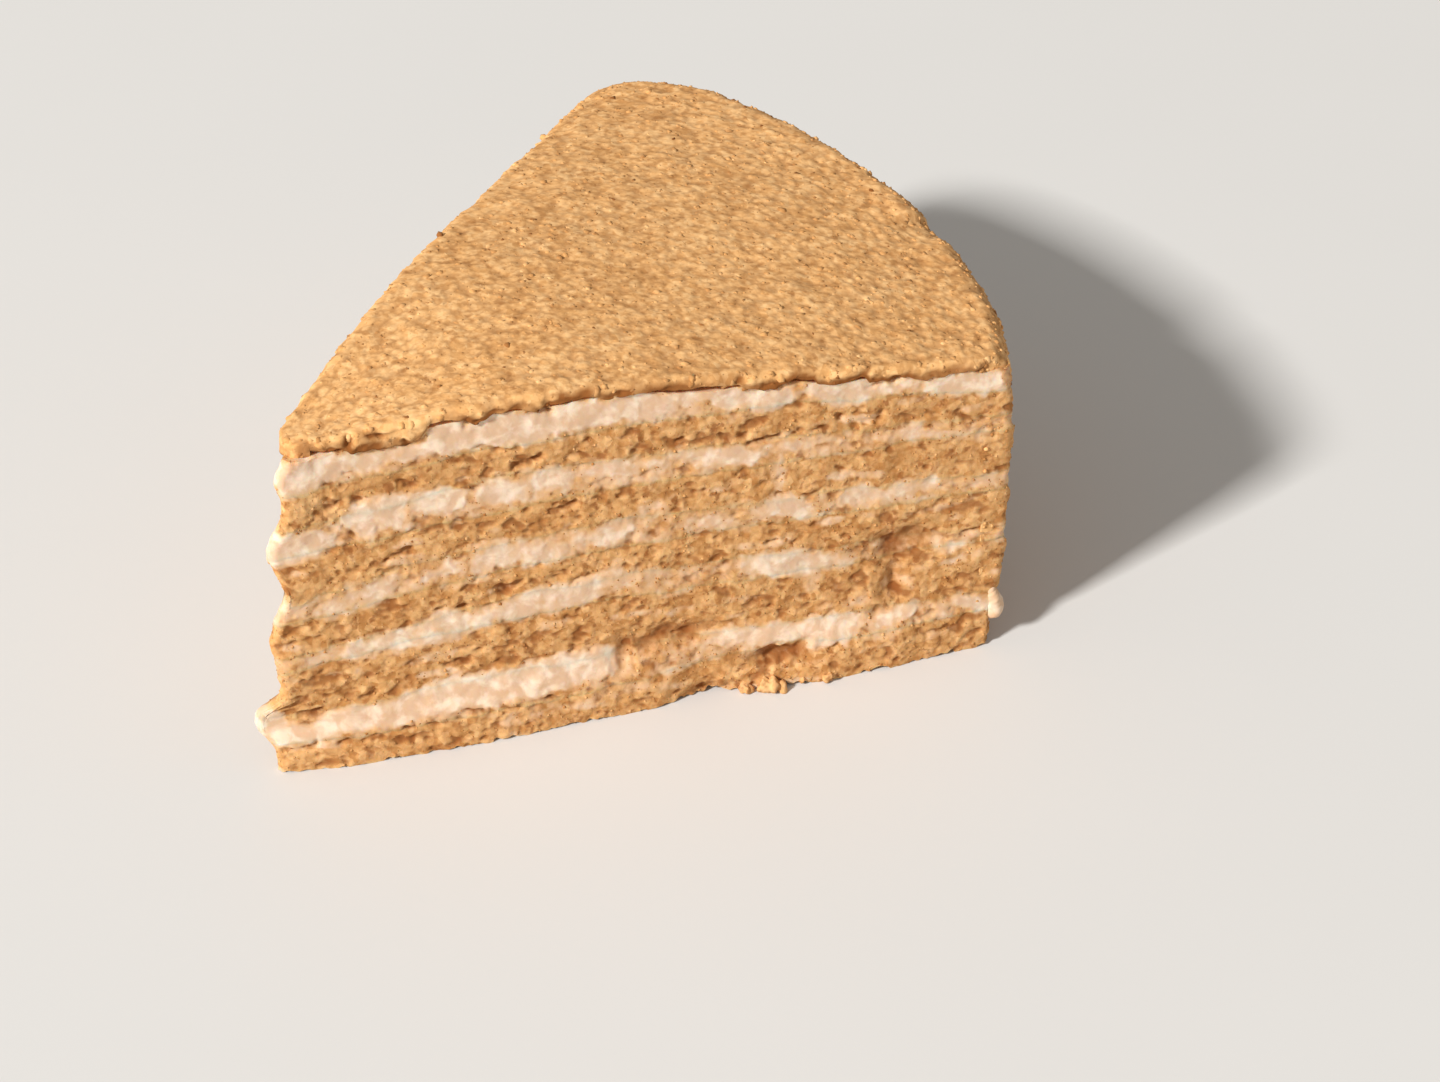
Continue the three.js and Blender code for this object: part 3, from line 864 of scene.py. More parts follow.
@dataclass
class Sleeve:
    """A closed tube of rings with a cap at each end: a divided cylinder laid on places of its own."""

    name: str
    tip: Array

    def lay(self, places: Array, marks: dict[str, Array],
            creases: tuple[int, ...] = ()) -> bpy.types.Object:
        """Builds the piece.

        Args:
            places: Millimetres from the sharp tip, as rings by points round by three.
            marks: Values to keep on the vertices by name, as rings by points round.
            creases: The rings whose edges are shaded sharp.

        Returns:
            The new object.
        """
        rings, around = places.shape[:2]
        shape = bmesh.new()
        bmesh.ops.create_cone(shape, cap_ends=True, cap_tris=False, segments=around,
                              radius1=1.0, radius2=1.0, depth=1.0)
        upright = [edge for edge in shape.edges if abs(edge.verts[0].co.z - edge.verts[1].co.z) > 0.5]
        bmesh.ops.subdivide_edges(shape, edges=upright, cuts=rings - 2, use_grid_fill=True)
        raw = np.array([vertex.co for vertex in shape.verts])
        turn = np.arctan2(-raw[:, 0], raw[:, 1]) / (2.0 * np.pi)
        column = np.round(turn * around).astype(int) % around
        ring = np.round((raw[:, 2] + 0.5) * (rings - 1)).astype(int)
        final = (places[ring, column] + self.tip) * MM
        levels = dict(zip(shape.verts, ring))
        for vertex, place in zip(shape.verts, final):
            vertex.co = place
        for edge in shape.edges:
            first, second = (levels[vertex] for vertex in edge.verts)
            edge.smooth = first != second or first not in creases
        if shape.calc_volume(signed=True) < 0.0:
            bmesh.ops.reverse_faces(shape, faces=shape.faces)
        piece = new_piece(self.name, shape)
        keep_marks(piece.data, {mark: values[ring, column] for mark, values in marks.items()})
        return piece


def new_piece(name: str, shape: bmesh.types.BMesh) -> bpy.types.Object:
    """Makes a smooth-shaded object of a bmesh, which it frees, and rides it on the slice.

    Args:
        name: The piece's name.
        shape: The finished shape, in metres.

    Returns:
        The new object.
    """
    mesh = bpy.data.meshes.new(name)
    shape.to_mesh(mesh)
    shape.free()
    mesh.shade_smooth()
    piece = add_object(name, mesh)
    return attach(piece, BODY)


def add_object(name: str, data: bpy.types.ID) -> bpy.types.Object:
    """Adds an object with data of its own to the scene."""
    made = bpy.data.objects.new(name, data)
    bpy.context.scene.collection.objects.link(made)
    return made


def keep_marks(mesh: bpy.types.Mesh, marks: dict[str, Array]) -> None:
    """Keeps values on a mesh's vertices by name."""
    for mark, values in marks.items():
        layer = mesh.attributes.new(mark, "FLOAT", "POINT")
        layer.data.foreach_set("value", values.astype(np.float32))


@dataclass
class Layer:
    """One layer of the slice: the relief of its two cuts, and plain hidden faces."""

    node: str
    faces: CutFaces
    row_step: float = 0.24
    least_rows: int = 5
    nose_room: float = 0.3
    corner_shown: float = 0.3
    ledges: Pairs = ((3.0, 0.15), (1.8, 0.15))

    def build(self) -> bpy.types.Object:
        """Lays out the wall and the hidden ledges, and replaces the solid."""
        index = LAYER_NODES.index(self.node)
        outline, lines = self.faces.outline, self.faces.boundaries
        low, high = lines[index], lines[index + 1]
        rows = max(int(np.mean(high - low) / self.row_step), self.least_rows)
        column = np.tile(np.arange(len(low)), rows)
        up = low[column] + np.repeat(np.linspace(0.0, 1.0, rows), len(low)) * (high - low)[column]
        places = np.column_stack([outline.points[column], up])
        out, marks = self.faces.skin(places, column)
        hidden = (outline.sides == Side.RIM) & (outline.at_corner < self.corner_shown)
        moves = self.faces.nose_moves(outline.along[column], up) + self.faces.end_moves(places, column)
        places[:, :2] += out[:, None] * outline.normals[column] + moves
        walls = places.reshape(rows, -1, 3)
        lower = [self._ledge(walls[0], depth, lift) for depth, lift in self.ledges]
        upper = [self._ledge(walls[-1], depth, -lift) for depth, lift in reversed(self.ledges)]
        marks["zone"] = np.where(hidden[column], Zone.HIDDEN, Zone.SHOWN).astype(float)
        marks = {name: self._with_ledges(values.reshape(rows, -1), name)
                 for name, values in marks.items()}
        creases = (len(lower), len(lower) + rows - 1)
        sleeve = Sleeve(self.node + "_cut", self.faces.solids.tip)
        piece = sleeve.lay(np.stack([*lower, *walls, *upper]), marks, creases)
        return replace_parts(piece, self.node)

    def _ledge(self, edge: Array, depth: float, lift: float) -> Array:
        """An edge of the wall moved inwards and up, less at the nose, where the slice is narrow."""
        outline = self.faces.outline
        room = np.minimum(depth, self.nose_room * outline.along)
        moved = edge.copy()
        moved[:, :2] -= room[:, None] * outline.normals
        moved[:, 2] += lift
        return moved

    def _with_ledges(self, values: Array, name: str) -> Array:
        """Adds rows for the ledges to a mark: hidden ones to the zones, repeated ones to the others."""
        count = len(self.ledges)
        first, last = ([row] * count for row in (values[:1], values[-1:]))
        if name == "zone":
            first = last = [np.full_like(values[:1], Zone.HIDDEN)] * count
        return np.concatenate([*first, values, *last])


class Part(IntEnum):
    """The parts of the coat's section, in order round it."""

    TOP = 0
    BACK = 1
    UNDER = 2
    FRONT = 3


@dataclass
class CrumbCoat:
    """The coat of fine crumb over the top, round the shoulder and down the rim."""

    plan: Plan
    solids: Solids
    faces: CutFaces
    thickness: float = 2.2
    side_thickness: float = 2.4
    shoulder: float = 5.0
    nose_trim: float = 3.2
    nose_round: float = 1.6
    nose_hang: float = 0.5
    nose_wall_steps: int = 4
    nose_ragged: float = 0.5
    seat_inset: float = 2.0
    seat_room: float = 0.3
    seat_back: float = 1.0
    least_seat: float = 0.5
    lift: float = 1.0
    edge_radius: float = 1.0
    edge_room: float = 0.35
    edge_ragged: float = 0.7
    least_wall: float = 0.4
    under_inset: float = 3.0
    under_room: float = 0.4
    top_steps: int = 320
    shoulder_steps: int = 15
    side_steps: int = 62
    columns: int = 212
    round_steps: int = 3
    wall_steps: int = 11
    under_columns: int = 4
    swells: Pairs = ((17.0, 0.3), (6.0, 0.16), (2.8, 0.12))
    rim_swells: Pairs = ((11.0, 0.35), (4.0, 0.25))
    edge_swells: Pairs = ((3.2, 0.35), (1.5, 0.25))
    packed: tuple[tuple[float, float, int], ...] = ((1.6, 0.085, 60), (1.0, 0.05, 70))
    packed_dome: float = 2.0
    packed_own: float = 0.9
    packed_coarser: float = 0.8
    packed_coarse: Span = (45.0, 3.0)
    # Where the gaps between packed crumbs lie, and how much painted shade they get
    gap_range: Span = (0.45, 0.85)
    gap_shade: float = 0.44
    skin_depth: Span = (0.5, 0.95)
    pore_shade: float = 0.45
    dent_depth: float = 1.4
    edge_crumb: float = 0.75
    overhang: float = 0.45
    overhang_from: Span = (4.0, 9.0)
    side_overhang: float = -0.3
    side_lean: float = 1.2
    rim_lean: float = 0.3
    undercut: float = 0.15
    # A patchy band of painted shade along the lower edge of the coat's wall, under the lip: its height,
    # its core, and its strength along the front cut
    lip_shade_height: float = 1.5
    lip_shade_core: float = 0.35
    lip_shade: Pairs = (
        (0, 0.5), (4, 0.7), (9, 0.7), (11, 0.5), (12.5, 1), (17, 1), (18, 0.5), (20, 0.7), (23, 0.7),
        (25, 0.35), (28, 0.5), (29.5, 1), (33, 1), (34, 0.55), (40, 0.6), (41.5, 1), (47, 1), (48, 0.6),
        (50, 1), (53, 1), (54, 0.5), (56, 0.9), (62, 0.9), (64, 0.5), (68, 0.5), (72, 0.8),
        (73, 1.1), (80, 1.1), (81.5, 0.9), (84, 1), (95, 1), (97, 0.8), (110, 0.8))
    lip: Pairs = (
        (0, 55), (9, 55.1), (12.6, 54.6), (13.6, 53.8), (22, 53.5), (23.2, 54.6), (24, 57), (27, 57),
        (30, 56), (31, 55.4), (33, 56.7), (37, 56.7), (40, 55.2), (42, 56.4), (47, 57), (50.5, 55.8),
        (55, 56.7), (59, 55.6), (65, 55.3), (69, 54.4), (73, 53.1), (75, 53.3), (78, 54.3), (80, 54.1),
        (81, 52.9), (85, 52.4), (88, 52.8), (89, 51.2), (92, 51), (94, 51.4), (98, 50.4),
        (104, 50.6), (112, 49.2))
    lip_rough: Pairs = ((2.4, 0.35), (1.1, 0.3))
    lip_patches: Pairs = ((3.0, 0.7), (1.3, 0.5))
    lip_patch_height: float = 0.6
    lip_lean: float = 0.6
    back_hang: float = 0.5
    back_hang_from: Span = (8.0, 14.0)
    back_ragged: float = 2.0
    foot_inset: float = 1.0
    foot_inset_heights: Span = (8.0, 1.0)
    foot_drop: float = 0.6
    corner_trim: Pairs = (
        (0, 0.8), (0.05, 1.3), (0.1, 0.75), (0.17, 0.1), (0.22, 0), (1, 0))
    corner_trim_heights: Pairs = ((0, 1.9), (5, 1.6), (10, 1), (60, 1))
    step_height: float = 0.4
    step_turns: tuple[Span, Span] = ((-5.3, -4.6), (1.0, -3.0))
    step_reach: Span = (11.0, 3.0)
    notch_depth: float = 0.8
    notch_turns: tuple[Span, Span] = ((-4.6, -5.3), (-9.5, -6.5))
    grain: Grain = Grain(300)

    def _ring(self) -> tuple[Array, ...]:
        """Once round the section: the part, the share across, the edge's turn, and the share down it."""
        turn = np.linspace(0.0, np.pi / 2.0, self.round_steps + 1)[1:]
        wall = np.arange(1, self.wall_steps + 1) / self.wall_steps
        edge_turn = np.concatenate([turn, np.full(len(wall), np.pi / 2.0)])
        edge_wall = np.concatenate([np.zeros(len(turn)), wall])
        counts = [self.columns, len(edge_turn), self.under_columns, len(edge_turn)]
        part = np.repeat(np.array(list(Part)), counts)
        none, edge = np.zeros(len(edge_turn)), np.zeros(self.columns)
        under = np.zeros(self.under_columns)
        over = np.linspace(0.0, 1.0, self.columns)
        share = np.concatenate([over, none, np.linspace(1.0, 0.0, self.under_columns), none])
        turns = np.concatenate([edge, edge_turn, under, edge_turn[::-1]])
        walls = np.concatenate([edge, edge_wall, under, edge_wall[::-1]])
        return part, share, turns, walls

    def _rows(self) -> tuple[Array, ...]:
        """From nose to foot: the share along the top, the nose's turn and depth, the lean and the fall."""
        turn = np.linspace(0.0, np.pi / 2.0, self.round_steps + 1)[:0:-1]
        wall = np.linspace(1.0, 0.0, self.nose_wall_steps + 1)[:-1]
        nose = len(wall) + len(turn)
        rest = self.top_steps + self.shoulder_steps + self.side_steps
        nose_turn = np.concatenate([np.full(len(wall), np.pi / 2.0), turn, np.zeros(rest)])
        nose_wall = np.concatenate([wall, np.zeros(len(turn) + rest)])
        tail = np.ones(self.shoulder_steps + self.side_steps)
        share = np.concatenate([np.zeros(nose), np.linspace(0.0, 1.0, self.top_steps), tail])
        lean = np.zeros(nose + rest)
        lean[nose + self.top_steps:] = np.pi / 2.0
        bend = np.linspace(0, np.pi / 2.0, self.shoulder_steps + 1)[1:]
        lean[nose + self.top_steps:-self.side_steps] = bend
        fall = np.zeros(nose + rest)
        fall[-self.side_steps:] = np.linspace(0.0, 1.0, self.side_steps + 1)[1:]
        return tuple(values[:, None] for values in (share, nose_turn, nose_wall, lean, fall))

    def _seat(self, distance: Array, across: Array) -> Array:
        """Heights of the uppermost cream's solid under places of the coat."""
        width = self.plan.wedge_angle * np.maximum(distance, 1.0)
        inset = np.minimum(self.seat_inset / width, self.seat_room)
        kept = np.clip(across, inset, 1.0 - inset)
        limit = self.plan.rim_distances(kept) - self.side_thickness - self.seat_back
        within = np.clip(distance, self.plan.nose_distances(kept) + self.nose_trim, limit)
        flat = (within[..., None] * self.plan.ways(kept)).reshape(-1, 2)
        return self.solids.tops(CREAM_NODES[-1], flat).reshape(within.shape)

    def build(self) -> bpy.types.Object:
        """Lays out the coat and replaces its solid."""
        part, share, turns, walls = self._ring()
        top, nose_turn, nose_wall, lean, fall = self._rows()
        along = self._top_distance(top, share)
        width = self.plan.wedge_angle * along
        radius = np.minimum(self.edge_radius, self.edge_room * width)
        inset = np.minimum(self.under_inset, self.under_room * width)
        over = radius + (width - 2.0 * radius) * share
        under = inset + (width - 2.0 * inset) * share
        inside = np.select([part == Part.TOP, part == Part.UNDER], [over, under],
                           radius * (1.0 - np.sin(turns)))
        across = np.where(part == Part.BACK, 1.0 - inside / width, inside / width)
        outer, inner = self._faces_of(top, across, lean, fall)
        outer = (outer[0] + radius * (1.0 - np.sin(nose_turn)) * (1.0 - top), outer[1])
        down = radius * (1.0 - np.cos(turns))
        nose_down = radius * (1.0 - np.cos(nose_turn))
        nose_down = nose_down + nose_wall * (self.thickness + self.nose_hang - nose_down)
        bottom = self._wall_bottom(part, along, outer, inner, lean)
        down = np.where(part == Part.UNDER, self.thickness, down + walls * (bottom - down))
        depth = np.maximum(down, nose_down) / self.thickness
        distance = outer[0] + depth * (inner[0] - outer[0])
        height = outer[1] + depth * (inner[1] - outer[1])
        places = np.concatenate([distance[..., None] * self.plan.ways(across), height[..., None]], axis=2)
        pit, tone = self._roughen(places, part, turns, across, depth, lean, nose_turn, fall)
        zone = np.where(lean > self.rim_lean, Zone.RIM, Zone.SHOWN) * (part != Part.UNDER)
        marks = {"pit": pit, "tone": tone, "zone": zone * np.ones_like(height)}
        piece = Sleeve(COAT_NODE + "_crust", self.solids.tip).lay(places, marks)
        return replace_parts(piece, COAT_NODE)

    def _top_distance(self, top: Array, across: Array) -> Array:
        """Distances from the sharp tip along the top, at shares from the coat's nose to its shoulder."""
        start = self.plan.nose_distances(across) + self.nose_trim
        start = start + self.nose_round * (2.0 * across - 1.0) ** 4
        return start + top * (self.plan.rim_distances(across) - self.shoulder - start)

    def _faces_of(self, top: Array, across: Array, lean: Array,
                  fall: Array) -> tuple[tuple[Array, Array], ...]:
        """Distances and heights of the coat's outer face, and of its inner one."""
        distance = self._top_distance(top, across)
        rim = self.plan.rim_distances(across)
        inside = rim - self.side_thickness
        seat = self._seat(distance, across)
        seat_end = self._seat(inside, across)
        crown = seat + self.thickness
        bend = lean / (np.pi / 2.0)
        outer_d = distance + self.shoulder * np.sin(lean)
        outer_z = (crown - self.shoulder * (1.0 - np.cos(lean))) * (1.0 - fall) + self.lift * fall
        inner_d = distance + bend * (inside - distance)
        inner_z = (seat + bend * (seat_end - seat)) * (1.0 - fall) + self.lift * fall
        return (outer_d, outer_z), (inner_d, inner_z)

    def _wall_bottom(self, part: Array, along: Array, outer: tuple[Array, Array],
                     inner: tuple[Array, Array], lean: Array) -> Array:
        """How deep each edge's wall goes: to the listed lip in front, a little past the coat behind."""
        places = np.stack([along, np.zeros_like(along), np.zeros_like(along)], axis=2).reshape(-1, 3)
        ragged = self.grain.layered(places, self.lip_rough, CoatSalt.LIP).reshape(along.shape)
        low = along_line(along, self.lip) + ragged
        front = self.thickness * (outer[1] - low) / np.maximum(outer[1] - inner[1], self.least_seat)
        hang = self.back_hang + self.back_ragged * ragged
        back = self.thickness + hang * ease(along, *self.back_hang_from)
        hung = np.where(part == Part.FRONT, front, back)
        flat = 1.0 - ease(lean, 0.0, self.lip_lean)
        bottom = self.thickness + (hung - self.thickness) * flat
        return np.maximum(bottom, self.edge_radius + self.least_wall)

    def _packed(self, flat: Array) -> tuple[Array, Array]:
        """Heights of crumbs packed side by side, and how far each place lies in a gap between them."""
        height, gap = np.zeros(len(flat)), np.zeros(len(flat))
        for size, tall, salt in self.packed:
            near, own = self.grain.cells(flat, size, salt)
            height += tall * (self.packed_own * own - self.packed_dome * near**2)
            gap = np.maximum(gap, ease(near, *self.gap_range))
        return height, gap

    @staticmethod
    def _stretch(turn: Array, ends: tuple[Span, Span]) -> Array:
        """A stretch of the rim that fades in at one end and out at the other."""
        return ease(turn, *ends[0]) * ease(turn, *ends[1])

    def _roughen(self, places: Array, part: Array, turns: Array, across: Array, depth: Array, lean: Array,
                 nose_turn: Array, fall: Array) -> tuple[Array, Array]:
        """Adds the unevenness and the overhanging edges to the places given.

        Args:
            places: Even places, as rows by points round by three.
            part: The part of the section that each point round belongs to.
            turns: How far round its edge each point round is.
            across: Each place's share across the wedge.
            depth: Each place's depth as a share of the coat's thickness.
            lean: How far the outer face leans over at each row.
            nose_turn: How far round the nose's edge each row is.
            fall: How far down the rim each row is.

        Returns:
            How far painted shade darkens each place, in the gaps between packed crumbs and at the edges,
            and its tone, painted light and shade that follows the swells.
        """
        shape = depth.shape
        flat = places.reshape(-1, 3).copy()
        swell = self.grain.layered(flat, self.swells, CoatSalt.SWELLS).reshape(shape)
        rim = self.grain.layered(flat, self.rim_swells, CoatSalt.RIM).reshape(shape) * np.sin(lean)
        edge = self.grain.layered(flat, self.edge_swells, CoatSalt.EDGES).reshape(shape)
        ways = self.plan.ways(across)
        turn = np.degrees((across - 0.5) * self.plan.wedge_angle)
        back_from_rim = self.plan.rim_distances(across) - np.linalg.norm(places[..., :2], axis=2)
        step = self.step_height * self._stretch(turn, self.step_turns)
        step -= self.notch_depth * self._stretch(turn, self.notch_turns)
        step *= ease(back_from_rim, *self.step_reach) * (1.0 - fall)
        outside = 1.0 - ease(depth, *self.skin_depth)
        crumbs, gaps = (values.reshape(shape) for values in self._packed(flat))
        crumbs *= 1.0 + self.packed_coarser * ease(back_from_rim, *self.packed_coarse)
        rise = (swell + rim + step + crumbs) * outside
        low = self.foot_inset * ease(places[..., 2], *self.foot_inset_heights)
        trim = along_line(places[..., 2], self.corner_trim_heights)
        low = low + along_line(across, self.corner_trim) * trim
        places[..., :2] += (np.sin(lean) * (rise - low * outside))[..., None] * ways
        places[..., 2] += np.cos(lean) * rise
        at_nose = np.sin(nose_turn) * (part != Part.UNDER) * self.nose_ragged * edge
        places[..., :2] -= at_nose[..., None] * ways
        places[..., 2] += np.where(fall >= 1.0, np.maximum(edge, -self.foot_drop), 0.0)
        hang = self.overhang + (self.side_overhang - self.overhang) * ease(lean, 0.0, self.side_lean)
        nearest = np.linalg.norm(places[..., :2], axis=2).min(axis=1, keepdims=True)
        hang = hang * ease(nearest, *self.overhang_from)
        # Painted shade in the gaps between the packed crumbs of the top
        pit = self.gap_shade * gaps * (part == Part.TOP)
        for side, at in ((Side.FRONT, Part.FRONT), (Side.BACK, Part.BACK)):
            columns = part == at
            moves, hollow = self._edge_relief(side, places[:, columns], hang, edge[:, columns],
                                              np.sin(turns[columns]), lean < self.rim_lean)
            places[:, columns, :2] += moves[..., None] * self.plan.cut_normal(side)
            pit[:, columns] = hollow
        # Tone follows the swells and the edge's unevenness, lighter where they rise and darker where they
        # sink: painted light and shade
        return pit, np.clip(swell + edge, -1.0, 1.0)

    def _edge_relief(self, side: Side, places: Array, hang: Array, edge: Array, upright: Array,
                     flat: Array) -> tuple[Array, Array]:
        """The ragged wall of the coat's edge at one cut.

        Args:
            side: The cut.
            places: The edge's places, as rows by points round by three.
            hang: How far each row hangs over the cut.
            edge: The edge's unevenness at each place.
            upright: How far round the edge each point round is, from 0 on top to 1 at the wall.
            flat: Which rows lie on the top.

        Returns:
            How far each place stands out, and how far painted shade darkens it: in pores, low places,
            crevices, tears and under the lip.
        """
        even, shape = places.reshape(-1, 3), places.shape[:2]
        along, heights = np.linalg.norm(even[:, :2], axis=1), places[..., 2]
        crumb, pore = (values.reshape(shape) for values in self.faces.crumb(even))
        patches = self.grain.layered(even, self.lip_patches, CoatSalt.PATCHES).reshape(shape)
        rise = heights - heights.min(axis=1, keepdims=True) - self.lip_patch_height * patches
        # Painted shade under the lip, in a patchy band along the wall's lower edge
        under = ease(rise, self.lip_shade_height, self.lip_shade_core * self.lip_shade_height) * flat
        out = (hang + self.edge_ragged * edge + self.edge_crumb * crumb) * upright
        dents = self.faces.dents(along, even[:, 2], np.full(len(even), side), even)
        dent, dent_shade = (values.reshape(shape) * upright * flat for values in dents)
        browning_and_lip_shade = along_line(along, self.lip_shade).reshape(shape)
        # Painted shade: pores, low places and the band under the lip darken, as do crevices and tears
        hollow = self.pore_shade * pore + self.faces.hollows(crumb) + under * browning_and_lip_shade
        return out - self.dent_depth * dent - self.undercut * under, np.clip(hollow + dent_shade, 0.0, 1.0)


class Ball(Enum):
    """What a loose crumb starts from, by its number of faces."""

    PLAIN = 8
    ROUND = 20


@dataclass
class CrumbScatter:
    """Loose crumbs of one kind, sunk in the faces of pieces."""

    name: str
    hosts: list[bpy.types.Object]
    count: int
    sizes: Span
    seed: int
    zone: Zone = Zone.SHOWN
    most_creamy: float | None = None
    most_pit: float = 0.7
    sink: Span = (-0.42, -0.05)
    flatten: Span = (0.6, 1.0)
    dents: Span = (0.75, 1.15)
    size_power: float = 2.0
    tone: float = -0.6
    tone_spread: float = 0.6
    brown_share: float = 0.15
    browns: Span = (0.3, 0.9)
    floor_gap: float = 0.02
    ball: Ball = Ball.PLAIN

    def _spots(self, draw: np.random.Generator) -> tuple[Array, Array, Array]:
        """Random places, normals and pits on the hosts' open faces, spread evenly by area."""
        found = [self._open_triangles(host.data) for host in self.hosts]
        triangles, pits = (np.concatenate(each) for each in zip(*found))
        normals = np.cross(triangles[:, 1] - triangles[:, 0], triangles[:, 2] - triangles[:, 0])
        area = np.linalg.norm(normals, axis=1)
        chosen = draw.choice(len(area), self.count, p=area / area.sum())
        mix = draw.dirichlet((1.0, 1.0, 1.0), self.count)
        spots = np.einsum("nk,nkd->nd", mix, triangles[chosen])
        return spots, normals[chosen] / area[chosen][:, None], np.einsum("nk,nk->n", mix, pits[chosen])

    def _open_triangles(self, mesh: bpy.types.Mesh) -> tuple[Array, Array]:
        """The corners of a mesh's triangles that may hold crumbs, and the pits there."""
        mesh.calc_loop_triangles()
        corners = np.empty(len(mesh.loop_triangles) * 3, dtype=np.int32)
        mesh.loop_triangles.foreach_get("vertices", corners)
        places = np.empty(len(mesh.vertices) * 3)
        mesh.vertices.foreach_get("co", places)
        kept = self._mark(mesh, "zone") == self.zone
        pit = self._mark(mesh, "pit")
        kept &= pit < self.most_pit
        if self.most_creamy is not None:
            kept &= self._mark(mesh, "creamy") < self.most_creamy
        corners = corners.reshape(-1, 3)
        corners = corners[kept[corners].all(axis=1)]
        return places.reshape(-1, 3)[corners], pit[corners]

    @staticmethod
    def _mark(mesh: bpy.types.Mesh, name: str) -> Array:
        """The values of a mark on a mesh's vertices."""
        values = np.empty(len(mesh.vertices), dtype=np.float32)
        mesh.attributes[name].data.foreach_get("value", values)
        return values

    def build(self) -> bpy.types.Object:
        """Makes the crumbs as one joined mesh."""
        draw = np.random.default_rng(self.seed)
        spots, normals, pits = self._spots(draw)
        shape = bmesh.new()
        if self.ball is Ball.ROUND:
            bmesh.ops.create_icosphere(shape, subdivisions=1, radius=0.5)
        else:
            bmesh.ops.create_uvsphere(shape, u_segments=4, v_segments=2, radius=0.5)
        ball = np.array([vertex.co for vertex in shape.verts])
        faces = np.array([[vertex.index for vertex in face.verts] for face in shape.faces])
        shape.free()
        low, high = self.sizes
        size = (low + (high - low) * draw.random(self.count) ** self.size_power) * MM
        stretch = draw.uniform(*self.flatten, (self.count, 1, 3))
        dents = draw.uniform(*self.dents, (self.count, len(ball), 1))
        crumbs = ball * stretch * dents * size[:, None, None]
        crumbs = np.einsum("nvk,nkd->nvd", crumbs, self._turns(draw))
        rise = draw.uniform(*self.sink, self.count) * size
        crumbs += (spots + normals * rise[:, None])[:, None]
        floor = self.floor_gap * MM - crumbs[..., 2].min(axis=1)
        crumbs[..., 2] += np.maximum(floor, 0.0)[:, None]
        joined = (faces[None] + len(ball) * np.arange(self.count)[:, None, None]).reshape(-1, 3)
        mesh = bpy.data.meshes.new(self.name)
        mesh.from_pydata(crumbs.reshape(-1, 3), [], joined)
        mesh.shade_smooth()
        tones = draw.normal(self.tone, self.tone_spread, self.count)
        # Some crumbs are browner at random; each crumb also takes the painted shade of the place it sits
        # on
        browning_and_lip_shade = (draw.random(self.count) < self.brown_share) * draw.uniform(*self.browns, self.count)
        marks = {"tone": tones, "pit": np.clip(pits + browning_and_lip_shade, 0.0, 1.0)}
        keep_marks(mesh, {mark: np.repeat(values, len(ball)) for mark, values in marks.items()})
        piece = add_object(self.name, mesh)
        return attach(piece, BODY)

    def _turns(self, draw: np.random.Generator) -> Array:
        """Random rotation matrices, one for each crumb."""
        q = draw.normal(size=(self.count, 4))
        w, x, y, z = (q / np.linalg.norm(q, axis=1, keepdims=True)).T
        return np.stack([
            np.stack([1 - 2 * (y * y + z * z), 2 * (x * y - w * z), 2 * (x * z + w * y)], axis=1),
            np.stack([2 * (x * y + w * z), 1 - 2 * (x * x + z * z), 2 * (y * z - w * x)], axis=1),
            np.stack([2 * (x * z - w * y), 2 * (y * z + w * x), 1 - 2 * (x * x + y * y)], axis=1),
        ], axis=1)


@dataclass
class Lumps:
    """A few larger lumps, joined in one piece: rough balls of crumb or of cream."""

    name: str
    tip: Array
    spots: tuple[tuple[tuple[float, float, float], tuple[float, float, float]], ...]
    rough: Pairs
    creamy: float
    subdivisions: int = 4
    pull: float = 2.0
    floor_gap: float = 0.05
    tone_height: float = 0.4
    grain: Grain = Grain(700)

    def build(self) -> bpy.types.Object:
        """Makes the lumps from balls whose points are moved in or out, none of them below the floor."""
        shape = bmesh.new()
        tones = []
        for place, sizes in self.spots:
            made = bmesh.ops.create_icosphere(shape, subdivisions=self.subdivisions, radius=0.5)["verts"]
            ball = np.array([vertex.co for vertex in made])
            raw = ball * np.array(sizes) + np.array(place)
            swell = self.grain.layered(raw, self.rough)
            raw += swell[:, None] * ball * self.pull
            raw[:, 2] = np.maximum(raw[:, 2], self.floor_gap)
            for vertex, point in zip(made, (raw + self.tip) * MM):
                vertex.co = point
            # Tone follows each lump's swelling, lighter where it bulges and darker where it sinks: painted
            # light and shade
            tones.append(np.clip(swell / self.tone_height, -1.0, 1.0))
        piece = new_piece(self.name, shape)
        creamy = np.full(len(piece.data.vertices), self.creamy)
        keep_marks(piece.data, {"tone": np.concatenate(tones), "creamy": creamy})
        return piece


def cut_place(plan: Plan, along: float, out: float, up: float) -> tuple[float, float, float]:
    """A place by its distance along the front cut, how far it stands out from it, and its height."""
    way, normal = plan.ways(np.array(0.0)), plan.cut_normal(Side.FRONT)
    x, y = along * way + out * normal
    return float(x), float(y), up


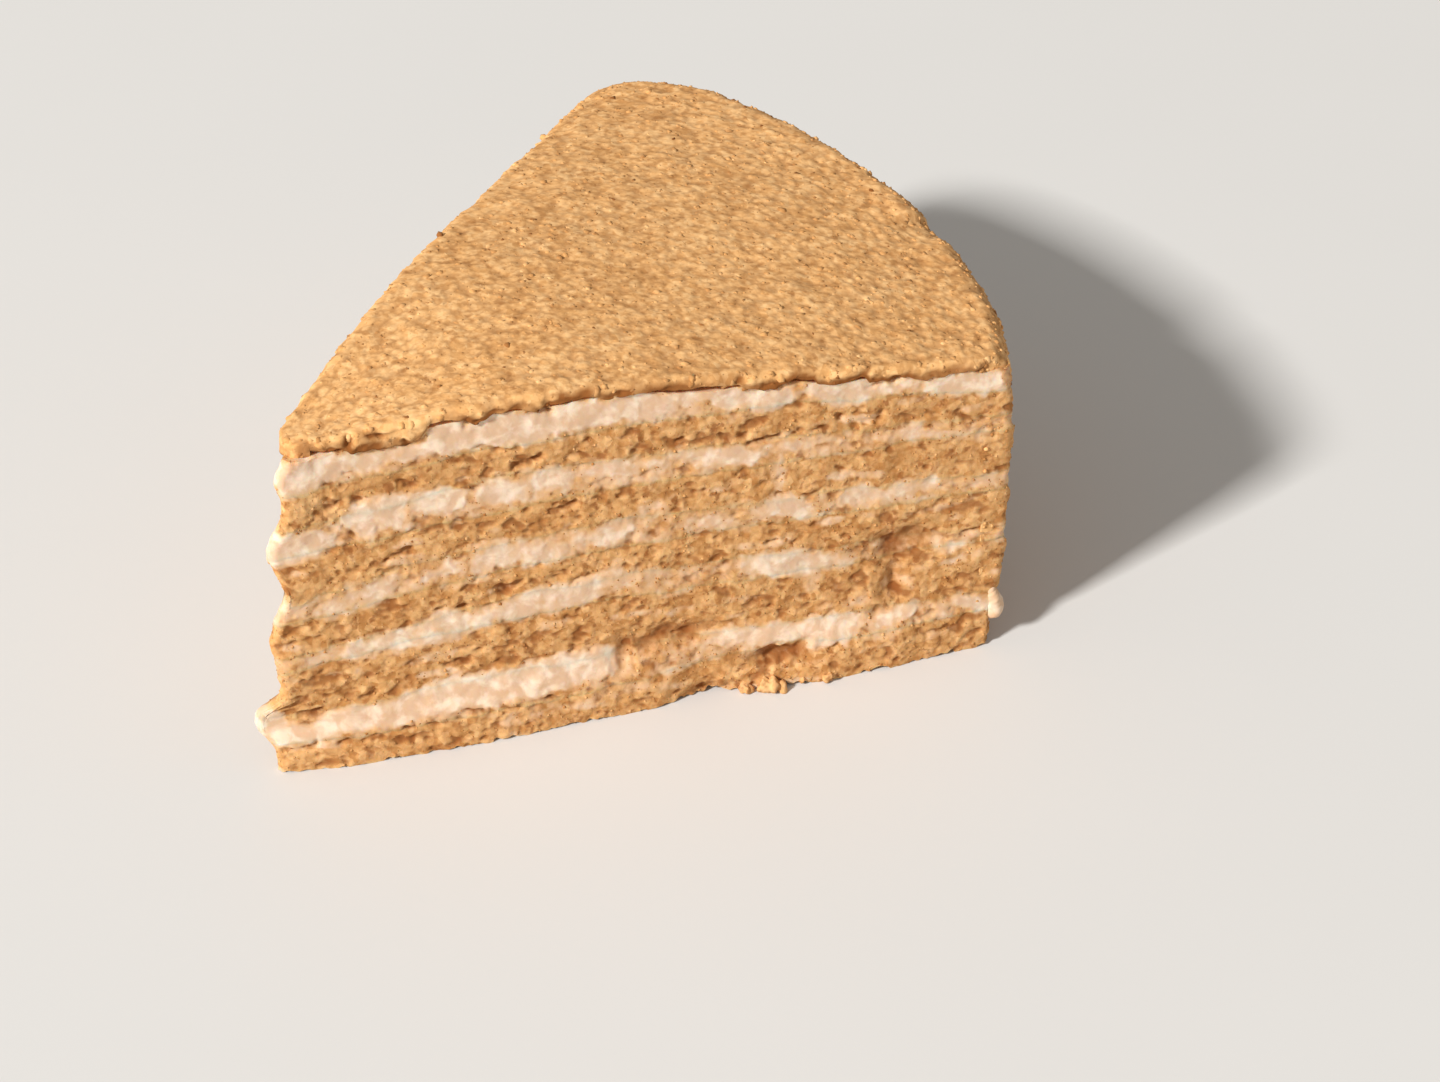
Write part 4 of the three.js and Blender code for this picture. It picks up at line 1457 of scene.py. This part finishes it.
class NodeSheet:
    """A node tree that is being drawn."""

    def __init__(self, tree: bpy.types.NodeTree) -> None:
        """Starts on an empty tree."""
        self.tree = tree
        self.tree.nodes.clear()

    def add(self, kind: str, **settings: object) -> bpy.types.Node:
        """Adds a node and sets its properties."""
        node = self.tree.nodes.new(kind)
        for name, value in settings.items():
            setattr(node, name, value)
        return node

    def feed(self, socket: Socket, value: object) -> None:
        """Links a socket to another, or sets its value."""
        if isinstance(value, Socket):
            self.tree.links.new(value, socket)
        elif isinstance(value, tuple) and len(value) == 3 and socket.type == "RGBA":
            socket.default_value = (*value, 1.0)
        else:
            socket.default_value = value

    def maths(self, operation: str, *values: object) -> Socket:
        """A number worked out from others."""
        node = self.add("ShaderNodeMath", operation=operation)
        for socket, value in zip(node.inputs, values):
            self.feed(socket, value)
        return node.outputs[0]

    def scaled(self, place: Socket, factor: Socket) -> Socket:
        """A place moved away from the origin by a factor."""
        node = self.add("ShaderNodeVectorMath", operation="SCALE")
        self.feed(node.inputs["Vector"], place)
        self.feed(node.inputs["Scale"], factor)
        return node.outputs["Vector"]

    def blend(self, share: object, first: object, second: object) -> Socket:
        """A colour between two others."""
        node = self.add("ShaderNodeMix", data_type="RGBA")
        for number, value in ((0, share), (6, first), (7, second)):
            self.feed(node.inputs[number], value)
        return node.outputs[2]

    def step(self, value: object, low: float, high: float) -> Socket:
        """A smooth step from 0 to 1 between two values."""
        node = self.add("ShaderNodeMapRange", interpolation_type="SMOOTHSTEP")
        for name, given in (("Value", value), ("From Min", low), ("From Max", high)):
            self.feed(node.inputs[name], given)
        return node.outputs[0]

    def noise(self, place: Socket, size: float, detail: float,
              bend: float = 0.0) -> Socket:
        """Cloudy noise with lumps of a size in millimetres, bent into strands."""
        node = self.add("ShaderNodeTexNoise")
        self.feed(node.inputs["Vector"], place)
        self.feed(node.inputs["Scale"], 1.0 / (size * MM))
        self.feed(node.inputs["Detail"], detail)
        self.feed(node.inputs["Distortion"], bend)
        return node.outputs[0]

    def grains(self, place: Socket, size: float) -> tuple[Socket, Socket]:
        """Packed grains of a size in millimetres: the distance from each one's middle, and its colour."""
        node = self.add("ShaderNodeTexVoronoi")
        self.feed(node.inputs["Vector"], place)
        self.feed(node.inputs["Scale"], 1.0 / (size * MM))
        return node.outputs["Distance"], node.outputs["Color"]

    def attribute(self, name: str) -> Socket:
        """A value kept on the piece's vertices."""
        return self.add("ShaderNodeAttribute", attribute_name=name).outputs["Fac"]


@dataclass(frozen=True)
class CrumbPalette:
    """Colours of baked crumb, from the bottom of a pore to a lit grain."""

    deep: Colour
    dark: Colour
    body: Colour
    light: Colour
    specks: float
    fineness: float


# Deep is where the pit marks lead, mostly painted shade; specks scales the brown specks and the painted
# shade between grains; dark and light are reached by tone, partly painted light and shade
BAKED = CrumbPalette(deep=(0.29, 0.095, 0.022), dark=(0.5, 0.225, 0.068), body=(0.655, 0.345, 0.13),
                     light=(0.79, 0.46, 0.2), specks=0.75, fineness=0.7)
SIFTED = CrumbPalette(deep=(0.27, 0.092, 0.02), dark=(0.7, 0.355, 0.124), body=(0.845, 0.465, 0.183),
                      light=(0.925, 0.555, 0.244), specks=0.45, fineness=0.75)


class CrumbTone:
    """The node group of baked crumb: its colour and its fine relief.

    A noise is given as a size in millimetres, detail and bend, and a range as where a smooth step starts
    and ends.
    """

    NAME = "crumb_tone"
    FINE_NOISE, SLOW_NOISE, SPECK_NOISE = (0.8, 3.0), (6.0, 2.0), (1.2, 3.0, 0.2)
    GRAIN_SIZE = 0.9
    FINE_SHARE, SLOW_SHARE, OWN_SHARE, TONE_SHARE = 0.5, 0.25, 0.25, 0.1
    BODY_RANGE, LIGHT_RANGE = (0.36, 0.52), (0.5, 0.66)
    SPECK_RANGE, GAP_RANGE = (0.56, 0.7), (0.6, 0.95)
    GAP_SHADE = 0.6

    @classmethod
    def group(cls) -> bpy.types.NodeTree:
        """The group, drawn once."""
        return bpy.data.node_groups.get(cls.NAME) or cls._draw()

    @classmethod
    def _draw(cls) -> bpy.types.NodeTree:
        """Draws the group."""
        tree = bpy.data.node_groups.new(cls.NAME, "ShaderNodeTree")
        for name in ("Deep", "Dark", "Body", "Light"):
            tree.interface.new_socket(name, in_out="INPUT", socket_type="NodeSocketColor")
        for name in ("Specks", "Fineness", "Pit", "Tone"):
            tree.interface.new_socket(name, in_out="INPUT", socket_type="NodeSocketFloat")
        tree.interface.new_socket("Color", in_out="OUTPUT", socket_type="NodeSocketColor")
        tree.interface.new_socket("Height", in_out="OUTPUT", socket_type="NodeSocketFloat")
        sheet = NodeSheet(tree)
        given = sheet.add("NodeGroupInput").outputs
        place = sheet.scaled(sheet.add("ShaderNodeTexCoord").outputs["Object"], given["Fineness"])
        fine, slow = sheet.noise(place, *cls.FINE_NOISE), sheet.noise(place, *cls.SLOW_NOISE)
        gap, own = sheet.grains(place, cls.GRAIN_SIZE)
        mixed = sheet.maths("MULTIPLY", fine, cls.FINE_SHARE)
        mixed = sheet.maths("MULTIPLY_ADD", slow, cls.SLOW_SHARE, mixed)
        mixed = sheet.maths("MULTIPLY_ADD", own, cls.OWN_SHARE, mixed)
        # Tone mixes random noise with the piece's tone, which on the cuts, coat and lumps is painted light
        # and shade following their relief, and on loose crumbs differs at random
        tone = sheet.maths("MULTIPLY_ADD", given["Tone"], cls.TONE_SHARE, mixed)
        baked = sheet.blend(sheet.step(tone, *cls.BODY_RANGE), given["Dark"], given["Body"])
        baked = sheet.blend(sheet.step(tone, *cls.LIGHT_RANGE), baked, given["Light"])
        specks = sheet.step(sheet.noise(place, *cls.SPECK_NOISE), *cls.SPECK_RANGE)
        # Painted shade in the gaps between grains, taken with the brown specks; Specks scales both
        gaps = sheet.maths("MULTIPLY", sheet.step(gap, *cls.GAP_RANGE), cls.GAP_SHADE)
        shaded = sheet.maths("MULTIPLY", sheet.maths("MAXIMUM", specks, gaps), given["Specks"])
        baked = sheet.blend(shaded, baked, given["Deep"])
        # Pit darkens towards the deep colour: painted shade in pores, hollows, crevices, gaps and under
        # the lip, and some crumbs browned at random
        colour = sheet.blend(given["Pit"], baked, given["Deep"])
        result = sheet.add("NodeGroupOutput")
        sheet.feed(result.inputs["Color"], colour)
        sheet.feed(result.inputs["Height"], fine)
        return tree

    @classmethod
    def place(cls, sheet: NodeSheet, palette: CrumbPalette) -> bpy.types.Node:
        """Puts the group in a material with its own colours, fed by the piece's pit marks, mostly painted
        shade, and its tones.
        """
        node = sheet.add("ShaderNodeGroup", node_tree=cls.group())
        for name in ("Deep", "Dark", "Body", "Light", "Specks", "Fineness"):
            sheet.feed(node.inputs[name], getattr(palette, name.lower()))
        sheet.feed(node.inputs["Pit"], sheet.attribute("pit"))
        sheet.feed(node.inputs["Tone"], sheet.attribute("tone"))
        return node


@dataclass(frozen=True)
class Finish(ABC):
    """A finish: one procedural material."""

    SHINE = 0.2
    GLOW_RADII = (1.0, 0.5, 0.25)

    name: str
    roughness: float
    bump: float
    glow: float
    glow_depth: float

    @abstractmethod
    def colour_and_height(self, sheet: NodeSheet) -> tuple[Socket, Socket]:
        """Draws what feeds the base colour and the fine relief."""

    def material(self) -> bpy.types.Material:
        """The finish's material, made once."""
        return bpy.data.materials.get(self.name) or self._draw()

    def _draw(self) -> bpy.types.Material:
        """Draws the material."""
        material = bpy.data.materials.new(self.name)
        material.use_nodes = True
        sheet = NodeSheet(material.node_tree)
        shader = sheet.add("ShaderNodeBsdfPrincipled")
        colour, height = self.colour_and_height(sheet)
        relief = sheet.add("ShaderNodeBump")
        sheet.feed(relief.inputs["Height"], height)
        sheet.feed(relief.inputs["Distance"], self.bump * MM)
        sheet.feed(shader.inputs["Base Color"], colour)
        sheet.feed(shader.inputs["Roughness"], self.roughness)
        sheet.feed(shader.inputs["Normal"], relief.outputs[0])
        sheet.feed(shader.inputs["Specular IOR Level"], self.SHINE)
        sheet.feed(shader.inputs["Subsurface Weight"], self.glow)
        sheet.feed(shader.inputs["Subsurface Radius"], self.GLOW_RADII)
        sheet.feed(shader.inputs["Subsurface Scale"], self.glow_depth * MM)
        sheet.feed(sheet.add("ShaderNodeOutputMaterial").inputs["Surface"], shader.outputs[0])
        return material


@dataclass(frozen=True)
class CrumbFinish(Finish):
    """Fine golden crumb, as the coat has."""

    palette: CrumbPalette

    def colour_and_height(self, sheet: NodeSheet) -> tuple[Socket, Socket]:
        """Crumb alone."""
        crumb = CrumbTone.place(sheet, self.palette)
        return crumb.outputs["Color"], crumb.outputs["Height"]


@dataclass(frozen=True)
class CutFinish(Finish):
    """A cut face: crumb, crumb smeared with cream, and clean cream, by how creamy each place is."""

    BREAK_NOISE, BREAK_MIDDLE, BREAK_SHARE = (1.4, 4.0, 0.5), 0.5, 0.7
    CREAM_NOISE, CREAM_RANGE = (2.6, 4.0, 0.4), (0.4, 0.68)
    SMEAR_RANGE, CLEAN_RANGE = (0.1, 0.55), (0.36, 0.95)
    CREAM_SMOOTHS = -0.7

    palette: CrumbPalette
    smear: Colour
    cream: Colour
    cream_shade: Colour

    def colour_and_height(self, sheet: NodeSheet) -> tuple[Socket, Socket]:
        """Crumb under cream that breaks up at its edges."""
        crumb = CrumbTone.place(sheet, self.palette)
        place = sheet.add("ShaderNodeTexCoord").outputs["Object"]
        broken = sheet.maths("SUBTRACT", sheet.noise(place, *self.BREAK_NOISE), self.BREAK_MIDDLE)
        creamy = sheet.maths("MULTIPLY_ADD", broken, self.BREAK_SHARE, sheet.attribute("creamy"))
        cloud = sheet.step(sheet.noise(place, *self.CREAM_NOISE), *self.CREAM_RANGE)
        cream = sheet.blend(cloud, self.cream_shade, self.cream)
        smeared = sheet.blend(sheet.step(creamy, *self.SMEAR_RANGE), crumb.outputs["Color"], self.smear)
        mask = sheet.step(creamy, *self.CLEAN_RANGE)
        colour = sheet.blend(mask, smeared, cream)
        # Painted shade in the cream's bubbles, crevices and tears darkens it towards the crumb's dark
        # colour
        shade_on_cream = sheet.maths("MULTIPLY", sheet.attribute("pit"), mask)
        colour = sheet.blend(shade_on_cream, colour, self.palette.dark)
        keep = sheet.maths("MULTIPLY_ADD", sheet.attribute("creamy"), self.CREAM_SMOOTHS, 1.0)
        return colour, sheet.maths("MULTIPLY", crumb.outputs["Height"], keep)


@dataclass(frozen=True)
class FloorFinish(Finish):
    """A plain pale floor with the faintest unevenness of tone."""

    CLOUD_NOISE = (80.0, 2.0)

    colour: Colour
    shade: Colour

    def colour_and_height(self, sheet: NodeSheet) -> tuple[Socket, Socket]:
        """Two close tones."""
        place = sheet.add("ShaderNodeTexCoord").outputs["Object"]
        cloud = sheet.noise(place, *self.CLOUD_NOISE)
        return sheet.blend(cloud, self.shade, self.colour), cloud


# The crumb's palette, smeared crumb, cream, and cream in shade
CUT_COLOURS = (BAKED, (0.74, 0.45, 0.24), (0.92, 0.73, 0.555), (0.73, 0.485, 0.31))
SPONGE_FINISH = CutFinish("sponge_crumb", 0.9, 0.12, 0.35, 1.0, *CUT_COLOURS)
CREAM_FINISH = CutFinish("whipped_cream", 0.6, 0.1, 0.5, 1.4, *CUT_COLOURS)
LOOSE_SPONGE_FINISH = CutFinish("loose_sponge", 0.9, 0.12, 0.0, 0.0, *CUT_COLOURS)
LOOSE_CREAM_FINISH = CutFinish("loose_cream", 0.6, 0.1, 0.0, 0.0, *CUT_COLOURS)
COAT_FINISH = CrumbFinish("sifted_crumb", 0.95, 0.1, 0.0, 0.0, SIFTED)
FLOOR_FINISH = FloorFinish("pale_floor", 0.8, 0.0, 0.0, 0.0, (0.71, 0.69, 0.66), (0.69, 0.67, 0.64))


def dress(piece: bpy.types.Object, finish: Finish) -> bpy.types.Object:
    """Gives a piece its material, and reports it.

    Args:
        piece: The finished piece.
        finish: Its finish.

    Returns:
        The same piece.
    """
    piece.data.materials.clear()
    piece.data.materials.append(finish.material())
    log.info("%s: %d faces", piece.name, len(piece.data.polygons))
    return piece


@dataclass
class Studio:
    """The floor, the lights and the camera."""

    tip: Array
    focal_px: float = 3600.0
    frame_width_px: float = 1440.0
    sensor_mm: float = 36.0
    eye: tuple[float, float, float] = (-240.51, -332.74, 330.34)
    heading: float = math.radians(45.275)
    elevation: float = math.radians(35.26)
    roll: float = math.radians(1.34)
    clip_start_m: float = 0.01
    floor_half_m: float = 3.0
    key_watts: float = 870.0
    key_distance_m: float = 8.0
    key_size_m: float = 0.9
    key_from: float = math.radians(180.0)
    key_elevation: float = math.radians(34.0)
    sky: Colour = (1.0, 0.98, 0.95)
    sky_strength: float = 0.36

    def build(self) -> None:
        """Makes the floor, the lights, the sky and the camera."""
        self._floor()
        self._key()
        self._sky()
        self._camera()
        bpy.context.scene.view_settings.view_transform = "Standard"

    def _floor(self) -> None:
        """A plain pale floor under the slice."""
        shape = bmesh.new()
        bmesh.ops.create_grid(shape, x_segments=1, y_segments=1, size=self.floor_half_m)
        mesh = bpy.data.meshes.new("floor")
        shape.to_mesh(mesh)
        shape.free()
        mesh.materials.append(FLOOR_FINISH.material())
        floor = add_object("floor", mesh)

    def _key(self) -> None:
        """A square lamp that faces the slice from its tip's side."""
        lamp = bpy.data.lights.new("key", "AREA")
        lamp.energy = self.key_watts
        lamp.size = self.key_size_m
        flat = math.cos(self.key_elevation)
        away = Vector((math.cos(self.key_from) * flat, math.sin(self.key_from) * flat,
                       math.sin(self.key_elevation)))
        holder = add_object("key", lamp)
        holder.location = self.key_distance_m * away
        holder.rotation_euler = away.to_track_quat("Z", "Y").to_euler()

    def _sky(self) -> None:
        """Even light from all round."""
        world = bpy.data.worlds.new("sky")
        world.use_nodes = True
        back = world.node_tree.nodes["Background"]
        back.inputs["Color"].default_value = (*self.sky, 1.0)
        back.inputs["Strength"].default_value = self.sky_strength
        bpy.context.scene.world = world

    def _camera(self) -> None:
        """A camera where the photograph was taken from."""
        forward = Vector((math.cos(self.heading) * math.cos(self.elevation),
                          math.sin(self.heading) * math.cos(self.elevation), -math.sin(self.elevation)))
        level = Vector((math.sin(self.heading), -math.cos(self.heading), 0.0))
        upright = level.cross(forward)
        right = math.cos(self.roll) * level + math.sin(self.roll) * upright
        up = math.cos(self.roll) * upright - math.sin(self.roll) * level
        lens = bpy.data.cameras.new("camera")
        lens.sensor_width = self.sensor_mm
        lens.lens = self.sensor_mm * self.focal_px / self.frame_width_px
        lens.clip_start = self.clip_start_m
        eye = (Vector(self.eye) + Vector(self.tip)) * MM
        camera = add_object("camera", lens)
        turned = Matrix((right, up, -forward)).transposed().to_4x4()
        camera.matrix_world = Matrix.Translation(eye) @ turned
        bpy.context.scene.camera = camera


# Along the front cut, out from it, and across the lump
FOOT_LUMPS = ((71.2, 0.7, 1.5), (74.6, 1.2, 2.6), (76.6, 1.5, 1.6), (83.9, 1.7, 1.9), (85.5, 1.3, 1.3),
              (90.8, 1.3, 1.3), (80.0, 1.0, 1.2))
LUMP_RISE, LUMP_FLAT, LUMP_CREAMY = 0.42, 0.85, 0.14
LUMP_ROUGH = ((1.7, 0.8), (0.8, 0.6), (0.4, 0.3))
DAB_ACROSS = 0.006
# In from the rim, up, and across the ball
DAB_BALLS = ((0.3, 6.3, 3.2), (0.4, 7.0, 3.0), (0.5, 7.7, 2.7), (0.7, 8.4, 2.4), (0.9, 9.1, 2.1),
             (1.1, 9.8, 1.8))
DAB_TALL, DAB_CREAMY = 1.25, 0.7
DAB_ROUGH = ((1.8, 0.2), (0.8, 0.1))


def scatter_crumbs(coat: bpy.types.Object, cuts: list[bpy.types.Object]) -> None:
    """Makes the loose crumbs, one piece for each kind.

    Args:
        coat: The coat's piece.
        cuts: The layers' pieces.
    """
    sifted = {"tone": -0.9, "tone_spread": 1.0, "ball": Ball.ROUND}
    for crumbs in (
        CrumbScatter("coat_crumbs", [coat], count=4200, sizes=(1.2, 2.3), seed=60, sink=(-0.46, -0.27),
                     size_power=1.4, brown_share=0.06, **sifted),
        CrumbScatter("coat_grains", [coat], count=6500, sizes=(0.8, 1.4), seed=63, sink=(-0.46, -0.28),
                     most_pit=1.1, brown_share=0.04, **sifted),
        CrumbScatter("rim_crumbs", [coat], count=9900, sizes=(0.7, 1.4), seed=61, sink=(-0.42, -0.1),
                     zone=Zone.RIM, size_power=1.4, ball=Ball.ROUND),
    ):
        dress(crumbs.build(), COAT_FINISH)
    crumbs = CrumbScatter("cut_crumbs", cuts, count=9000, sizes=(0.4, 0.95), seed=62, most_creamy=0.6,
                          most_pit=0.6, brown_share=0.05)
    dress(crumbs.build(), LOOSE_SPONGE_FINISH)


def add_lumps(plan: Plan, tip: Array) -> None:
    """Makes the crumbled bits at the cut's foot, and the dab of cream at the rim's lower corner.

    Args:
        plan: The slice from above.
        tip: The sharp tip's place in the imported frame.
    """
    spots = tuple((cut_place(plan, along, out, LUMP_RISE * size), (size, size, LUMP_FLAT * size))
                  for along, out, size in FOOT_LUMPS)
    lumps = Lumps("foot_lumps", tip, spots, LUMP_ROUGH, LUMP_CREAMY)
    dress(lumps.build(), LOOSE_SPONGE_FINISH)
    across = np.array(DAB_ACROSS)
    spots = []
    for inset, up, size in DAB_BALLS:
        x, y = (plan.rim_distances(across) - inset) * plan.ways(across)
        spots.append(((float(x), float(y), up), (size, size, DAB_TALL * size)))
    dab = Lumps("cream_dab", tip, tuple(spots), DAB_ROUGH, DAB_CREAMY)
    dress(dab.build(), LOOSE_CREAM_FINISH)


def main() -> None:
    """Builds the slice, its crumbs and the studio."""
    plan = Plan()
    tip = plan.tip()
    solids = Solids(tip)
    faces = CutFaces(Outline(plan), solids)
    cuts = [dress(Layer(node, faces).build(), SPONGE_FINISH) for node in SPONGE_NODES]
    cuts += [dress(Layer(node, faces).build(), CREAM_FINISH) for node in CREAM_NODES]
    coat = dress(CrumbCoat(plan, solids, faces).build(), COAT_FINISH)
    scatter_crumbs(coat, cuts)
    add_lumps(plan, tip)
    Studio(tip).build()


if __name__ == "__main__":
    logging.basicConfig(level=logging.INFO)
    main()
